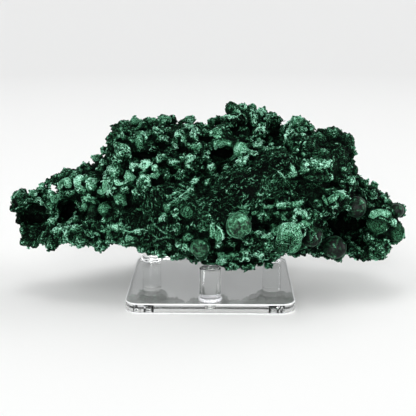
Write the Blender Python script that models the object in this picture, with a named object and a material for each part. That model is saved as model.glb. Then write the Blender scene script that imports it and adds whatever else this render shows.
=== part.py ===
"""Malachite specimen resting on a clear acrylic stand with three pegs.

Units are metres and +Z is up.  The origin is the centre of the base plate's
underside.  +X runs along the specimen's long side and -Y is its front.
The stone is one piece that grew as a crust of rounded lobes around a few open
hollows.  The stand is a square plate with a blind hole for each peg's spigot.
"""
import math
import random

import bmesh
import bpy
from mathutils import Matrix, Vector

MM = 0.001
GAP = 0.3 * MM                    # clearance between pieces that touch

# Stand: 1/4 inch sheet cut to 4 inches square, and 1/2 inch rod
PLATE_SIDE = 101.6 * MM
PLATE_THICK = 6.35 * MM
PLATE_CORNER = 9.5 * MM
CORNER_SEGMENTS = 10
EDGE_BREAK = 0.5 * MM
PEG_RADIUS = 6.35 * MM
PEG_HEIGHT = 20.2 * MM            # above the plate's top face
SPIGOT_RADIUS = 3.0 * MM
SPIGOT_DEPTH = 4.0 * MM
ROUND_SEGMENTS = 40
PEG_PLACES = {
    "peg_front": (0.0, -42.5 * MM),
    "peg_rear_left": (-41.0 * MM, 39.2 * MM),
    "peg_rear_right": (41.0 * MM, 39.2 * MM),
}
PEG_FOOT_Z = PLATE_THICK + GAP
PEG_TOP_Z = PLATE_THICK + PEG_HEIGHT

# Stone: its shell is fused at one voxel size, then reduced to flat facets
VOXEL = 2.6 * MM
FACET_RATIO = 0.205               # share of the fused shell's triangles kept
LOBE_DETAIL = 3                   # icosphere subdivisions
NODULE_DETAIL = 2
NODULE_SEED = 7
NODULE_SPACING = 10.0 * MM
NODULE_RADIUS = (3.8 * MM, 7.0 * MM)
NODULE_SUNK = 0.62                # share of a nodule's radius below its lobe
NODULE_BURIED = 0.93              # nodules this far inside another lobe are left out
SEAT_CLEARANCE = 0.6 * MM         # around a peg that the stone sits down on
SEAT_DEPTH = 30.0 * MM

# Lobes of the stone: centre x, y, z, then half-sizes along x, y, z, in mm
LEFT_WING = [
    (-109, -2, 44, 12, 18, 13),
    (-96, 2, 57, 13, 17, 13),
    (-75, 4, 63, 14, 22, 16),
    (-71, -6, 43, 19, 26, 14),
    (-117, -4, 58, 7, 12, 6),
    (-91, -8, 39, 15, 22, 8),
    (-93, 4, 67, 9, 14, 7),
    (-78, 6, 73, 9, 16, 8),
    (-114, -4, 34, 7, 13, 6),
    (-56, -4, 50, 16, 30, 19),
]
UPPER_LEFT = [
    (-52, 8, 87, 15, 29, 17),
    (-34, 10, 89, 18, 31, 18),
    (-13, 8, 87, 16, 31, 18),
    (-55, 0, 68, 14, 30, 14),
    (-34, -4, 65, 18, 34, 19),
    (-44, 20, 95, 12, 22, 9),
    (-23, 16, 96, 13, 24, 8),
    (-61, 16, 80, 8, 22, 9),
]
CREST = [
    (17, 22, 102, 11, 22, 13),
    (30, 24, 100, 13, 24, 11),
    (9, 14, 93, 12, 24, 12),
    (42, 26, 92, 12, 24, 9),
    (-1, 14, 94, 10, 22, 9),
]
CORE = [
    (-13, 2, 57, 28, 42, 26),
    (16, 2, 57, 30, 44, 26),
    (42, 4, 60, 29, 42, 23),
    (-4, -4, 41, 32, 38, 15),
    (-38, -6, 43, 29, 34, 14),
    (24, -8, 36, 26, 36, 14),
    (25, 12, 79, 26, 36, 20),
]
SLOPE = [
    (-3, -26, 56, 22, 26, 16),
    (19, -22, 69, 21, 26, 16),
    (40, -12, 81, 20, 24, 15),
    (-21, -24, 47, 22, 26, 14),
    (55, -2, 92, 14, 22, 12),
]
UPPER_RIGHT = [
    (55, 12, 97, 10, 22, 11),
    (75, 8, 86, 15, 29, 15),
    (63, 0, 80, 19, 32, 16),
    (78, 2, 72, 12, 28, 14),
    (83, 6, 80, 7, 19, 12),
]
RIGHT_ROOF = [
    (89, 2, 59, 13, 26, 11),
    (101, 4, 56, 10, 20, 9),
    (74, -6, 62, 15, 28, 13),
    (110, 0, 55, 8, 14, 8),
    (96, 18, 45, 16, 20, 13),
]
RIGHT_KNOB = [
    (104, -14, 45, 9, 15, 11),
    (102, -12, 33, 10, 16, 9),
    (114, -6, 39, 7, 13, 6),
    (115, -4, 53, 5, 9, 5),
]
RIGHT_LOW = [
    (63, -14, 39, 10, 20, 12),
    (75, -14, 33, 12, 20, 8),
    (91, -10, 32, 11, 18, 7),
    (55, -16, 53, 15, 26, 14),
    (88, 22, 33, 17, 18, 14),
]
FRONT_LOW = [
    (16, -46, 53, 8, 9, 8),
    (47, -36, 44, 11, 16, 11),
    (-5, -40, 41, 8, 12, 8),
    (3, -42, 48, 7, 10, 8),
    (31, -36, 42, 13, 16, 12),
    (15, -30, 32, 13, 16, 9),
    (34, -24, 30, 8, 14, 7),
    (-18, -28, 38, 14, 20, 9),
]
REAR_LOW = [
    (-40, 32, 44, 24, 22, 17),
    (40, 32, 45, 26, 22, 18),
    (0, 34, 50, 28, 22, 20),
    (-60, 18, 46, 22, 22, 17),
    (66, 20, 50, 20, 24, 18),
]
STONE_LOBES = (
    LEFT_WING + UPPER_LEFT + CREST + CORE + SLOPE + UPPER_RIGHT + RIGHT_ROOF
    + RIGHT_KNOB + RIGHT_LOW + FRONT_LOW + REAR_LOW
)

# Open hollows in the crust, written like the lobes
HOLLOWS = {
    "wing_tip_hollow": (-110, -22, 46, 10, 11, 10),
    "wing_cave": (-87, -26, 52, 9, 24, 7),
    "upper_cave": (-33, -32, 79, 12, 13, 5),
    "crest_cave": (9, -14, 88, 9, 17, 5),
    "crest_notch": (40, 2, 97, 8, 14, 4),
    "right_cave": (85, -24, 45, 12, 26, 12),
    "rear_cave": (-22, 48, 73, 12, 16, 8),
    "rear_right_cave": (62, 46, 66, 11, 15, 7),
}


def clear_scene():
    for old in list(bpy.data.objects):
        bpy.data.objects.remove(old, do_unlink=True)


def make_material(name, colour, roughness, transmission=0.0, ior=1.5):
    material = bpy.data.materials.new(name)
    material.use_nodes = True
    shader = material.node_tree.nodes["Principled BSDF"]
    shader.inputs["Base Color"].default_value = (*colour, 1.0)
    shader.inputs["Metallic"].default_value = 0.0
    shader.inputs["Roughness"].default_value = roughness
    shader.inputs["Transmission Weight"].default_value = transmission
    shader.inputs["IOR"].default_value = ior
    return material


def add_object(name, mesh, material=None):
    obj = bpy.data.objects.new(name, mesh)
    bpy.context.scene.collection.objects.link(obj)
    if material is not None:
        mesh.materials.append(material)
    return obj


def mesh_from(name, bm):
    bmesh.ops.recalc_face_normals(bm, faces=bm.faces)
    mesh = bpy.data.meshes.new(name)
    bm.to_mesh(mesh)
    bm.free()
    return mesh


def make_cutter(name, bm):
    cutter = add_object(name, mesh_from(name, bm))
    cutter.hide_render = True
    cutter.display_type = "WIRE"
    return cutter


def cut_away(obj, cutter):
    boolean = obj.modifiers.new("cut_" + cutter.name, "BOOLEAN")
    boolean.operation = "DIFFERENCE"
    boolean.solver = "EXACT"
    boolean.object = cutter


def add_cylinder(bm, radius, low, high, place, segments=ROUND_SEGMENTS):
    middle = Matrix.Translation((place[0], place[1], (low + high) / 2))
    bmesh.ops.create_cone(
        bm, cap_ends=True, segments=segments, radius1=radius, radius2=radius,
        depth=high - low, matrix=middle)


# The stand

def plate_outline():
    """Corners of the plate's rounded square, counter-clockwise."""
    inset = PLATE_SIDE / 2 - PLATE_CORNER
    points = []
    for quarter in range(4):
        start = quarter * math.pi / 2
        centre_x = inset * (1 if quarter in (0, 3) else -1)
        centre_y = inset * (1 if quarter in (0, 1) else -1)
        for step in range(CORNER_SEGMENTS + 1):
            angle = start + step / CORNER_SEGMENTS * math.pi / 2
            x = centre_x + PLATE_CORNER * math.cos(angle)
            y = centre_y + PLATE_CORNER * math.sin(angle)
            points.append((x, y, 0.0))
    return points


def make_base_plate():
    bm = bmesh.new()
    underside = bm.faces.new([bm.verts.new(point) for point in plate_outline()])
    walls = bmesh.ops.extrude_face_region(bm, geom=[underside])
    top_verts = [item for item in walls["geom"] if isinstance(item, bmesh.types.BMVert)]
    bmesh.ops.translate(bm, verts=top_verts, vec=(0, 0, PLATE_THICK))
    acrylic = make_material("plate_acrylic", (0.97, 0.98, 0.98), 0.02, 1.0, 1.49)
    plate = add_object("base_plate", mesh_from("base_plate", bm), acrylic)
    edges = plate.modifiers.new("broken_edges", "BEVEL")
    edges.width = EDGE_BREAK
    edges.segments = 2
    edges.limit_method = "ANGLE"
    edges.angle_limit = math.radians(60)
    for name, place in PEG_PLACES.items():
        hole = bmesh.new()
        floor_z = PLATE_THICK - SPIGOT_DEPTH
        add_cylinder(hole, SPIGOT_RADIUS + GAP, floor_z, 2 * PLATE_THICK, place)
        cut_away(plate, make_cutter("hole_" + name, hole))
    return plate


def peg_profile():
    """Radius and height of each turn of a peg, from the spigot's end up."""
    spigot_end = PLATE_THICK - SPIGOT_DEPTH + GAP
    return [
        (0.0, spigot_end),
        (SPIGOT_RADIUS, spigot_end),
        (SPIGOT_RADIUS, PEG_FOOT_Z),
        (PEG_RADIUS, PEG_FOOT_Z),
        (PEG_RADIUS, PEG_TOP_Z - EDGE_BREAK),
        (PEG_RADIUS - EDGE_BREAK, PEG_TOP_Z),
        (0.0, PEG_TOP_Z),
    ]


def make_peg_mesh():
    """The turned peg, around the Z axis."""
    bm = bmesh.new()
    profile = [bm.verts.new((radius, 0.0, z)) for radius, z in peg_profile()]
    edges = [bm.edges.new(pair) for pair in zip(profile, profile[1:])]
    bmesh.ops.spin(
        bm, geom=profile + edges, cent=(0, 0, 0), axis=(0, 0, 1),
        angle=2 * math.pi, steps=ROUND_SEGMENTS, use_merge=True)
    bmesh.ops.remove_doubles(bm, verts=bm.verts, dist=0.001 * MM)
    mesh = mesh_from("peg", bm)
    mesh.shade_smooth()
    mesh.set_sharp_from_angle(angle=math.radians(35))
    mesh.materials.append(make_material("peg_acrylic", (0.97, 0.98, 0.98), 0.04, 1.0, 1.49))
    return mesh


def make_pegs():
    mesh = make_peg_mesh()
    for name, place in PEG_PLACES.items():
        peg = add_object(name, mesh)
        peg.location = (place[0], place[1], 0.0)


# The stone

def in_metres(lobe):
    centre = Vector(lobe[:3]) * MM
    half = Vector(lobe[3:]) * MM
    return centre, half


def add_ellipsoid(bm, centre, half, detail):
    matrix = Matrix.Translation(centre) @ Matrix.Diagonal((*half, 1.0))
    bmesh.ops.create_icosphere(bm, subdivisions=detail, radius=1.0, matrix=matrix)


def depth_in(point, lobe):
    """0 at the lobe's centre and 1 on its surface."""
    centre, half = in_metres(lobe)
    offset = point - centre
    return Vector((offset.x / half.x, offset.y / half.y, offset.z / half.z)).length


def spiral_directions(count):
    """Unit vectors spread evenly over a sphere."""
    turn = math.pi * (1 + math.sqrt(5))
    for index in range(count):
        height = 1 - 2 * (index + 0.5) / count
        ring = math.sqrt(1 - height * height)
        angle = turn * index
        yield Vector((ring * math.cos(angle), ring * math.sin(angle), height))


def add_nodules(bm, lobe, rng):
    """Small domes over the part of a lobe that no other lobe covers."""
    centre, half = in_metres(lobe)
    area = 4 * math.pi * ((half.x * half.y + half.y * half.z + half.z * half.x) / 3)
    count = max(6, round(area / NODULE_SPACING ** 2))
    others = [other for other in STONE_LOBES if other is not lobe]
    for direction in spiral_directions(count):
        radius = rng.uniform(*NODULE_RADIUS)
        squash = rng.uniform(0.8, 1.2)
        on_lobe = centre + direction * half
        place = on_lobe - direction * radius * NODULE_SUNK
        if all(depth_in(on_lobe, other) > NODULE_BURIED for other in others):
            add_ellipsoid(bm, place, Vector((radius * squash, radius, radius)), NODULE_DETAIL)


def make_hollow_cutters():
    for name, hollow in HOLLOWS.items():
        bm = bmesh.new()
        centre, half = in_metres(hollow)
        add_ellipsoid(bm, centre, half, LOBE_DETAIL)
        yield make_cutter(name, bm)


def make_seat_cutters():
    """Columns that keep the stone's underside just above each peg."""
    for name, place in PEG_PLACES.items():
        bm = bmesh.new()
        low = PEG_TOP_Z - SEAT_DEPTH
        add_cylinder(bm, PEG_RADIUS + SEAT_CLEARANCE, low, PEG_TOP_Z + GAP, place)
        yield make_cutter("seat_" + name, bm)


def fuse_shell(stone, name):
    """Turn what overlaps into one skin of even squares."""
    fuse = stone.modifiers.new(name, "REMESH")
    fuse.mode = "VOXEL"
    fuse.voxel_size = VOXEL


def apply_modifiers(obj):
    depsgraph = bpy.context.evaluated_depsgraph_get()
    mesh = bpy.data.meshes.new_from_object(obj.evaluated_get(depsgraph))
    obj.modifiers.clear()
    obj.data = mesh


def shell_from(vert, seen):
    """Every vertex that edges join to this one."""
    shell = [vert]
    seen.add(vert.index)
    for member in shell:
        for edge in member.link_edges:
            other = edge.other_vert(member)
            if other.index not in seen:
                seen.add(other.index)
                shell.append(other)
    return shell


def keep_outer_shell(mesh):
    """Fill the small voids between lobes by dropping the skins around them."""
    bm = bmesh.new()
    bm.from_mesh(mesh)
    seen = set()
    shells = [shell_from(vert, seen) for vert in bm.verts if vert.index not in seen]
    outer = max(shells, key=len)
    for shell in shells:
        if shell is not outer:
            bmesh.ops.delete(bm, geom=shell, context="VERTS")
    bm.to_mesh(mesh)
    bm.free()


def make_malachite():
    rng = random.Random(NODULE_SEED)
    bm = bmesh.new()
    for lobe in STONE_LOBES:
        add_ellipsoid(bm, *in_metres(lobe), LOBE_DETAIL)
        add_nodules(bm, lobe, rng)
    green = make_material("malachite_green", (0.018, 0.075, 0.038), 0.75)
    stone = add_object("malachite", mesh_from("malachite", bm), green)
    fuse_shell(stone, "fuse_lobes")
    for cutter in make_hollow_cutters():
        cut_away(stone, cutter)
    fuse_shell(stone, "round_hollows")
    apply_modifiers(stone)
    keep_outer_shell(stone.data)
    facets = stone.modifiers.new("facets", "DECIMATE")
    facets.ratio = FACET_RATIO
    for cutter in make_seat_cutters():
        cut_away(stone, cutter)
    return stone


def main():
    clear_scene()
    make_base_plate()
    make_pegs()
    make_malachite()


main()
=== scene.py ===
import math

import bmesh
import bpy
import numpy as np
from mathutils import Matrix, Vector
from mathutils.bvhtree import BVHTree


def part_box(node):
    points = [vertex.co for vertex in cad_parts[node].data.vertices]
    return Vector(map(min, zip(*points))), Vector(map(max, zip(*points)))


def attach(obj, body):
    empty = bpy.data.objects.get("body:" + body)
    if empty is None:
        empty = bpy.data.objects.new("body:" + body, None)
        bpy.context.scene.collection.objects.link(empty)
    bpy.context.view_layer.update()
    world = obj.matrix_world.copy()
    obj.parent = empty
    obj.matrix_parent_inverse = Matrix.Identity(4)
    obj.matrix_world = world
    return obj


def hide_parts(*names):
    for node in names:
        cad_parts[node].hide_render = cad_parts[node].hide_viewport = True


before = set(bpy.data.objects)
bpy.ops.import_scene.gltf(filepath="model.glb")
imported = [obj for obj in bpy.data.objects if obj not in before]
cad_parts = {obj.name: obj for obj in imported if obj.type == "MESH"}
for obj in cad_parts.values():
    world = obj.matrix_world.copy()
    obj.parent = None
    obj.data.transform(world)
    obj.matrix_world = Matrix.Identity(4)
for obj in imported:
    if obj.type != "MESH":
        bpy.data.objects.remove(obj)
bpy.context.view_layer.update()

MM = 0.001
BODY = "root"
PEGS = ("peg_front", "peg_rear_left", "peg_rear_right")

# Camera: focal length in pixels of the 416 x 416 frame, and where it stands
FRAME_SIDE = 416
FOCAL_PIXELS = 950.0
SENSOR = 36.0
CAMERA_PLACE = Vector((0.0069, -0.5824, 0.19135))
CAMERA_PITCH = math.radians(13.4)
CAMERA_YAW = math.radians(0.87)

# A pale ring at the front peg's foot: painted highlight where the peg meets the plate
RING_STEPS = 64
RING_SIDES = 10
RING_RADIUS = 0.5 * MM
RING_HEIGHT = 2.2 * MM

# How open a spot on the stone is; closed-in spots are painted darker as painted shade
SPACE_PITCH = 1.1 * MM
NEAR_BLUR = 1.7 * MM
FAR_BLUR = 7.0 * MM

# Body of the stone
BODY_SEED = 11
BODY_SECTIONS = 4                 # the skin is cut across its length to keep each mesh light
CORE_INSET = 3.6 * MM             # the CAD skin moves in this far to leave room for the crust
FELT_INSET = 0.9 * MM             # less under the felt, where no nodules are placed
NODULE_TRIES = 16000              # spots drawn before they are thinned out
CHIP_TRIES = 60000
ROUGH_VOXEL = 1.0 * MM
FINE_VOXEL = 0.63 * MM
NODULE_SPACING = 5.4 * MM
NODULE_RADIUS = (2.6 * MM, 5.6 * MM)
NODULE_PROUD = (-1.8 * MM, 1.3 * MM)   # how far a nodule's top stands out of the CAD skin
CHIP_SPACING = 2.3 * MM
CHIP_LENGTH = (0.8 * MM, 2.0 * MM)     # half of the longest side
CHIP_THICKNESS = (0.38 * MM, 0.55 * MM)
CHIP_PROUD = (0.2 * MM, 1.2 * MM)
PEG_CLEARANCE = 0.5 * MM
SEAT_GAP = 0.3 * MM
SEAT_PRESS = 0.08                 # share of the room above a peg that is left at the seat
SEAT_HEIGHT = 12.0 * MM           # only the underside this near a peg's top is brought down
SEAT_FLAT = 7.0 * MM              # full effect this far from a peg's axis
SEAT_REACH = 13.0 * MM            # no effect beyond this


# ---------------------------------------------------------------- helpers

def unit(rows):
    return rows / np.maximum(np.linalg.norm(rows, axis=1, keepdims=True), 1e-12)


def lattice_value(cells, seed):
    """A repeatable random number from 0 to 1 for each lattice cell."""
    mixed = cells[:, 0] * 73856093 ^ cells[:, 1] * 19349663 ^ cells[:, 2] * 83492791
    mixed = (mixed ^ (seed * 2654435761)) & 0xFFFFFFFF
    mixed = (mixed ^ (mixed >> 15)) * 2246822519 & 0xFFFFFFFF
    mixed = (mixed ^ (mixed >> 13)) * 3266489917 & 0xFFFFFFFF
    return ((mixed ^ (mixed >> 16)) & 0xFFFFFF) / 0xFFFFFF


def soft_noise(points, size, seed):
    """Smooth value noise from -1 to 1, with features about size across."""
    scaled = points / size
    base = np.floor(scaled).astype(np.int64)
    part = scaled - base
    part = part * part * (3 - 2 * part)
    total = np.zeros(len(points))
    for corner in range(8):
        step = np.array([corner & 1, corner >> 1 & 1, corner >> 2 & 1])
        weight = np.where(step, part, 1 - part).prod(axis=1)
        total += weight * lattice_value(base + step, seed)
    return total * 2 - 1


def mesh_arrays(mesh):
    """Vertex places and triangles of a mesh."""
    mesh.calc_loop_triangles()
    places = np.empty(len(mesh.vertices) * 3, np.float32)
    mesh.vertices.foreach_get("co", places)
    corners = np.empty(len(mesh.loop_triangles) * 3, np.int32)
    mesh.loop_triangles.foreach_get("vertices", corners)
    return places.reshape(-1, 3).astype(float), corners.reshape(-1, 3)


def make_mesh(name, places, faces, smooth=True):
    """A mesh from arrays, every face with the same number of corners."""
    mesh = bpy.data.meshes.new(name)
    count, sides = faces.shape
    mesh.vertices.add(len(places))
    mesh.vertices.foreach_set("co", np.ascontiguousarray(places, np.float32).ravel())
    mesh.loops.add(count * sides)
    mesh.loops.foreach_set("vertex_index", np.ascontiguousarray(faces, np.int32).ravel())
    mesh.polygons.add(count)
    mesh.polygons.foreach_set("loop_start", np.arange(0, count * sides, sides, dtype=np.int32))
    mesh.update(calc_edges=True)
    mesh.validate()
    if smooth:
        mesh.shade_smooth()
    else:
        mesh.shade_flat()
    return mesh


def set_values(mesh, name, values):
    layer = mesh.attributes.new(name, "FLOAT", "POINT")
    layer.data.foreach_set("value", np.ascontiguousarray(values, np.float32))


def add_piece(name, mesh, material):
    """A piece on the part's one body."""
    piece = bpy.data.objects.new(name, mesh)
    bpy.context.scene.collection.objects.link(piece)
    mesh.materials.clear()
    mesh.materials.append(material)
    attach(piece, BODY)
    return piece


def vertex_normals(places, faces):
    a, b, c = (places[faces[:, i]] for i in range(3))
    flat = np.cross(b - a, c - a)
    normals = np.zeros_like(places)
    for i in range(3):
        np.add.at(normals, faces[:, i], flat)
    return unit(normals)


def sample_surface(places, faces, count, rng):
    """Random points spread evenly over a mesh, with their normals."""
    a, b, c = (places[faces[:, i]] for i in range(3))
    flat = np.cross(b - a, c - a)
    area = np.linalg.norm(flat, axis=1)
    chosen = rng.choice(len(faces), size=count, p=area / area.sum())
    u, v = rng.random(count), rng.random(count)
    over = u + v > 1
    u[over], v[over] = 1 - u[over], 1 - v[over]
    points = a[chosen] + u[:, None] * (b - a)[chosen] + v[:, None] * (c - a)[chosen]
    return points, unit(flat[chosen])


def thin_out(points, spacing):
    """Indices of points kept so that no two are closer than the spacing."""
    cells = np.floor(points / spacing).astype(int)
    taken = {}
    kept = []
    near = [(x, y, z) for x in (-1, 0, 1) for y in (-1, 0, 1) for z in (-1, 0, 1)]
    limit = spacing * spacing
    for index, (cell, point) in enumerate(zip(map(tuple, cells.tolist()), points.tolist())):
        clear = True
        for step in near:
            for other in taken.get((cell[0] + step[0], cell[1] + step[1], cell[2] + step[2]), ()):
                gap = ((point[0] - other[0]) ** 2 + (point[1] - other[1]) ** 2
                       + (point[2] - other[2]) ** 2)
                if gap < limit:
                    clear = False
                    break
            if not clear:
                break
        if clear:
            taken.setdefault(cell, []).append(point)
            kept.append(index)
    return np.array(kept)


def ico_template(detail):
    bm = bmesh.new()
    bmesh.ops.create_icosphere(bm, subdivisions=detail, radius=1.0)
    places = np.array([vert.co[:] for vert in bm.verts])
    faces = np.array([[vert.index for vert in face.verts] for face in bm.faces])
    bm.free()
    return places, faces


def repeated(faces, copies, stride):
    """The faces of one shape for each of its copies, whose corners are stride apart."""
    return (faces[None] + (np.arange(copies) * stride)[:, None, None]).reshape(-1, faces.shape[1])


def random_turns(count, rng):
    """That many random rotations, as the rows of 3 by 3 arrays."""
    first = unit(rng.normal(0, 1, (count, 3)))
    second = rng.normal(0, 1, (count, 3))
    second = unit(second - first * np.einsum("ij,ij->i", first, second)[:, None])
    return np.stack([first, second, np.cross(first, second)], 1)


def shards(points, normals, halves, proud, uneven, rng):
    """Angular chips turned every way, each standing proud of the skin by a set height."""
    shape, corners = ico_template(1)
    turns = random_turns(len(points), rng)
    swell = 1 + uneven * rng.uniform(-1, 1, (len(points), len(shape), 1))
    local = (shape[None] * swell * halves[:, None]) @ turns
    along = np.einsum("ijk,ik->ij", turns, normals) * halves
    height = np.linalg.norm(along, axis=1)
    centres = points + normals * (np.minimum(proud, 1.4 * height) - height)[:, None]
    return (centres[:, None] + local).reshape(-1, 3), repeated(corners, len(points), len(shape))


def many_spheres(centres, radii, detail):
    """Joined spheres: vertex places, triangles and the sphere each vertex is on."""
    shape, corners = ico_template(detail)
    places = centres[:, None, :] + shape[None] * radii[:, None, None]
    faces = repeated(corners, len(centres), len(shape))
    owner = np.repeat(np.arange(len(centres)), len(shape))
    return places.reshape(-1, 3), faces, owner


def joined(*parts):
    """Several (places, faces) pairs as one."""
    places, faces, start = [], [], 0
    for part_places, part_faces in parts:
        places.append(part_places)
        faces.append(part_faces + start)
        start += len(part_places)
    return np.vstack(places), np.vstack(faces)


# ---------------------------------------------------------------- camera

def camera_rotation():
    return Matrix.Rotation(CAMERA_YAW, 3, "Z") @ Matrix.Rotation(
        math.pi / 2 - CAMERA_PITCH, 3, "X")


def make_camera():
    data = bpy.data.cameras.new("camera")
    data.sensor_width = SENSOR
    data.lens = FOCAL_PIXELS / FRAME_SIDE * SENSOR
    data.clip_start, data.clip_end = 0.01, 100.0
    camera = bpy.data.objects.new("camera", data)
    camera.matrix_world = Matrix.Translation(CAMERA_PLACE) @ camera_rotation().to_4x4()
    bpy.context.scene.collection.objects.link(camera)
    bpy.context.scene.camera = camera


def pixel_ray(x, y):
    """Direction from the camera through a place in the 416 x 416 frame."""
    half = FRAME_SIDE / 2
    local = Vector(((x - half) / FOCAL_PIXELS, (half - y) / FOCAL_PIXELS, -1.0))
    return (camera_rotation() @ local).normalized()


def pixel_size(place):
    """Size in metres of one pixel at a place."""
    ahead = camera_rotation() @ Vector((0, 0, -1))
    return (Vector(place) - CAMERA_PLACE).dot(ahead) / FOCAL_PIXELS


def on_surface(tree, x, y):
    """Where the line of sight through a pixel meets the stone, or passes closest to it."""
    ray = pixel_ray(x, y)
    place, normal, _, _ = tree.ray_cast(CAMERA_PLACE, ray)
    if place is not None:
        return place, normal
    best = None
    for step in range(120):
        probe = CAMERA_PLACE + ray * (0.48 + 0.0015 * step)
        near, facing, _, gap = tree.find_nearest(probe)
        if best is None or gap < best[0]:
            best = (gap, near, facing, probe)
    return best[3].lerp(best[1], 0.5), best[2]


# ---------------------------------------------------------------- stone: listed features

# Each lump: x, y, half width and half height in pixels of the frame, then its tone
# (-1 near black, 0 mid green, 1 mint) and its silk (0 crumbly, 1 smooth).
LEFT_WING = {
    "tip_high": (18, 196, 6, 6, -0.05, 0.5),
    "tip_bump": (22, 191, 3, 3, -0.1, 0.6),
    "tip_low": (15, 208, 4.5, 5, 0.0, 0.5),
    "top_1": (33, 194, 6, 4.5, 0.3, 0.3),
    "top_2": (42, 188, 4.5, 5, 0.45, 0.4),
    "top_3": (49, 182, 4.5, 3.5, -0.1, 0.4),
    "top_4": (57, 177, 6, 3.5, -0.3, 0.4),
    "top_5": (66, 175, 6, 4.5, -0.2, 0.4),
    "bridge_edge": (75, 175, 5, 4, 0.0, 0.4),
    "bright_cap": (67, 183, 7, 6, 0.6, 0.6),
    "cap_side": (60, 186, 2.5, 6, 0.3, 0.5),
    "under_cap": (68, 193, 8, 4.5, -0.1, 0.3),
    "flag_foot": (49, 205, 4, 5, 0.15, 0.6),
    "shelf": (38, 201, 6, 3, 0.0, 0.3),
    "small_1": (20, 203, 4, 3, -0.3, 0.3),
    "fold": (57, 212, 1.7, 7, 0.35, 0.7),
    "ring_nodule": (53, 221, 4.5, 4.5, 0.25, 0.4),
    "behind_fold": (50, 212, 5, 5, -0.2, 0.5),
    "rim_1": (23, 231, 4.5, 5, 0.0, 0.3),
    "rim_2": (19, 219, 3.5, 6, -0.4, 0.5),
    "foot_1": (25, 242, 5.5, 5, -0.35, 0.5),
    "foot_2": (34, 243, 5, 5, -0.25, 0.5),
    "foot_3": (43, 240, 5, 5, -0.15, 0.6),
    "foot_4": (51, 244, 7, 7, 0.0, 0.4),
    "foot_5": (57, 232, 6, 5, 0.0, 0.3),
    "hollow_floor": (35, 232, 9, 7, -0.35, 0.3),
    "pale_1": (66, 232, 3.5, 6, 0.3, 0.5),
    "pale_2": (69, 223, 3, 2.5, 0.6, 0.6),
    "pillow_1": (79, 220, 8, 6, 0.15, 0.4),
    "pillow_2": (76, 229, 6.5, 5, 0.3, 0.5),
    "pillow_3": (81, 240, 8, 7, 0.0, 0.4),
    "pillow_4": (91, 234, 6, 6, -0.1, 0.3),
    "velvet_1": (93, 213, 6, 9, -0.1, 0.9),
    "bright_bead": (85, 206, 4, 4, 0.55, 0.6),
    "velvet_2": (104, 209, 6.5, 7, 0.2, 0.8),
    "foot_6": (101, 244.5, 8.5, 8.5, 0.0, 0.3),
    "foot_7": (112, 239, 7, 7, -0.1, 0.2),
}
LEFT_MIDDLE = {
    "plates_1": (79, 181, 6, 5.5, 0.5, 0.5),
    "plates_2": (82, 189, 6, 5, 0.35, 0.4),
    "plates_3": (92, 186, 5.5, 7, 0.3, 0.6),
    "lace_1": (145, 165, 6, 6, 0.7, 0.3),
    "ring_1": (134, 166, 4.5, 5, 0.2, 0.3),
    "scoop": (145, 181, 7.5, 7, 0.1, 0.5),
    "mint_knob": (155, 176, 4.5, 4, 0.75, 0.5),
    "grey_knob": (155, 168, 4.5, 4, 0.3, 0.3),
    "lace_2": (115, 170, 7.5, 7, 0.45, 0.2),
    "lace_3": (104, 164, 6, 6, 0.05, 0.2),
    "shade_1": (98, 164, 4.5, 8.5, -0.5, 0.3),
    "side_1": (97, 159, 6, 6, 0.2, 0.3),
    "side_2": (104, 150, 5, 5, 0.1, 0.2),
    "block_1": (124, 151, 8, 8, 0.3, 0.3),
    "block_2": (140, 141, 8, 11, 0.35, 0.3),
    "block_3": (122, 131, 8, 7, 0.0, 0.3),
    "block_4": (114, 138, 7, 7, -0.25, 0.3),
    "block_5": (118, 145, 6, 4, 0.1, 0.2),
    "top_6": (135, 121.5, 6, 5.5, 0.35, 0.5),
    "top_7": (124, 124.5, 7, 5.5, 0.1, 0.4),
    "top_15": (117, 129, 6, 6, -0.3, 0.4),
    "top_16": (111.5, 141, 6, 8, -0.4, 0.4),
    "top_8": (147, 121.5, 6, 5, -0.15, 0.4),
    "top_9": (154, 123, 6, 6, 0.15, 0.3),
    "top_10": (164, 120, 7, 5.5, 0.5, 0.4),
    "top_11": (172, 120.5, 5, 5, -0.3, 0.4),
    "top_12": (189, 119, 7, 4.5, 0.2, 0.4),
    "top_13": (188, 127, 5, 4, 0.2, 0.3),
    "top_14": (181, 122, 3, 3, -0.3, 0.4),
    "block_6": (157, 132, 7, 5, 0.15, 0.2),
    "block_7": (168, 131, 5, 5, 0.0, 0.2),
    "block_8": (180, 134, 7, 5, 0.3, 0.2),
    "block_9": (183, 141, 3.5, 1.8, 0.55, 0.5),
    "curl": (175, 147, 3.5, 4, 0.2, 0.3),
    "bright_shelf": (195, 147, 7, 3.5, 0.5, 0.3),
    "low_1": (160, 158, 6, 5, -0.2, 0.3),
    "low_2": (172, 162, 7, 5, -0.05, 0.2),
    "low_3": (190, 158, 7, 5, 0.0, 0.2),
    "knob_1": (182, 177, 9, 8, -0.1, 0.2),
    "knob_2": (168, 177, 6, 6, -0.3, 0.2),
    "bag": (120, 199, 6.5, 6.5, 0.25, 0.7),
    "bag_top": (125, 190, 5, 3.5, 0.35, 0.4),
    "pebble_1": (135, 192, 4, 3, 0.4, 0.4),
    "mossy_1": (168, 207, 6, 5, 0.5, 0.1),
    "mossy_2": (163, 217, 5, 5, 0.4, 0.1),
    "mossy_3": (176, 212, 6, 5, 0.3, 0.1),
    "low_disc": (187, 212, 7, 6, 0.15, 0.7),
    "low_4": (123, 243, 5.5, 5, 0.0, 0.3),
    "low_5": (131, 238, 6, 2.5, 0.55, 0.5),
    "low_6": (118, 228, 7, 3.5, 0.35, 0.3),
    "low_7": (138, 231, 6, 3.5, 0.35, 0.3),
    "low_8": (142, 247.5, 7, 6, 0.0, 0.2),
    "low_9": (152, 227, 6, 4, 0.15, 0.2),
}
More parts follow.
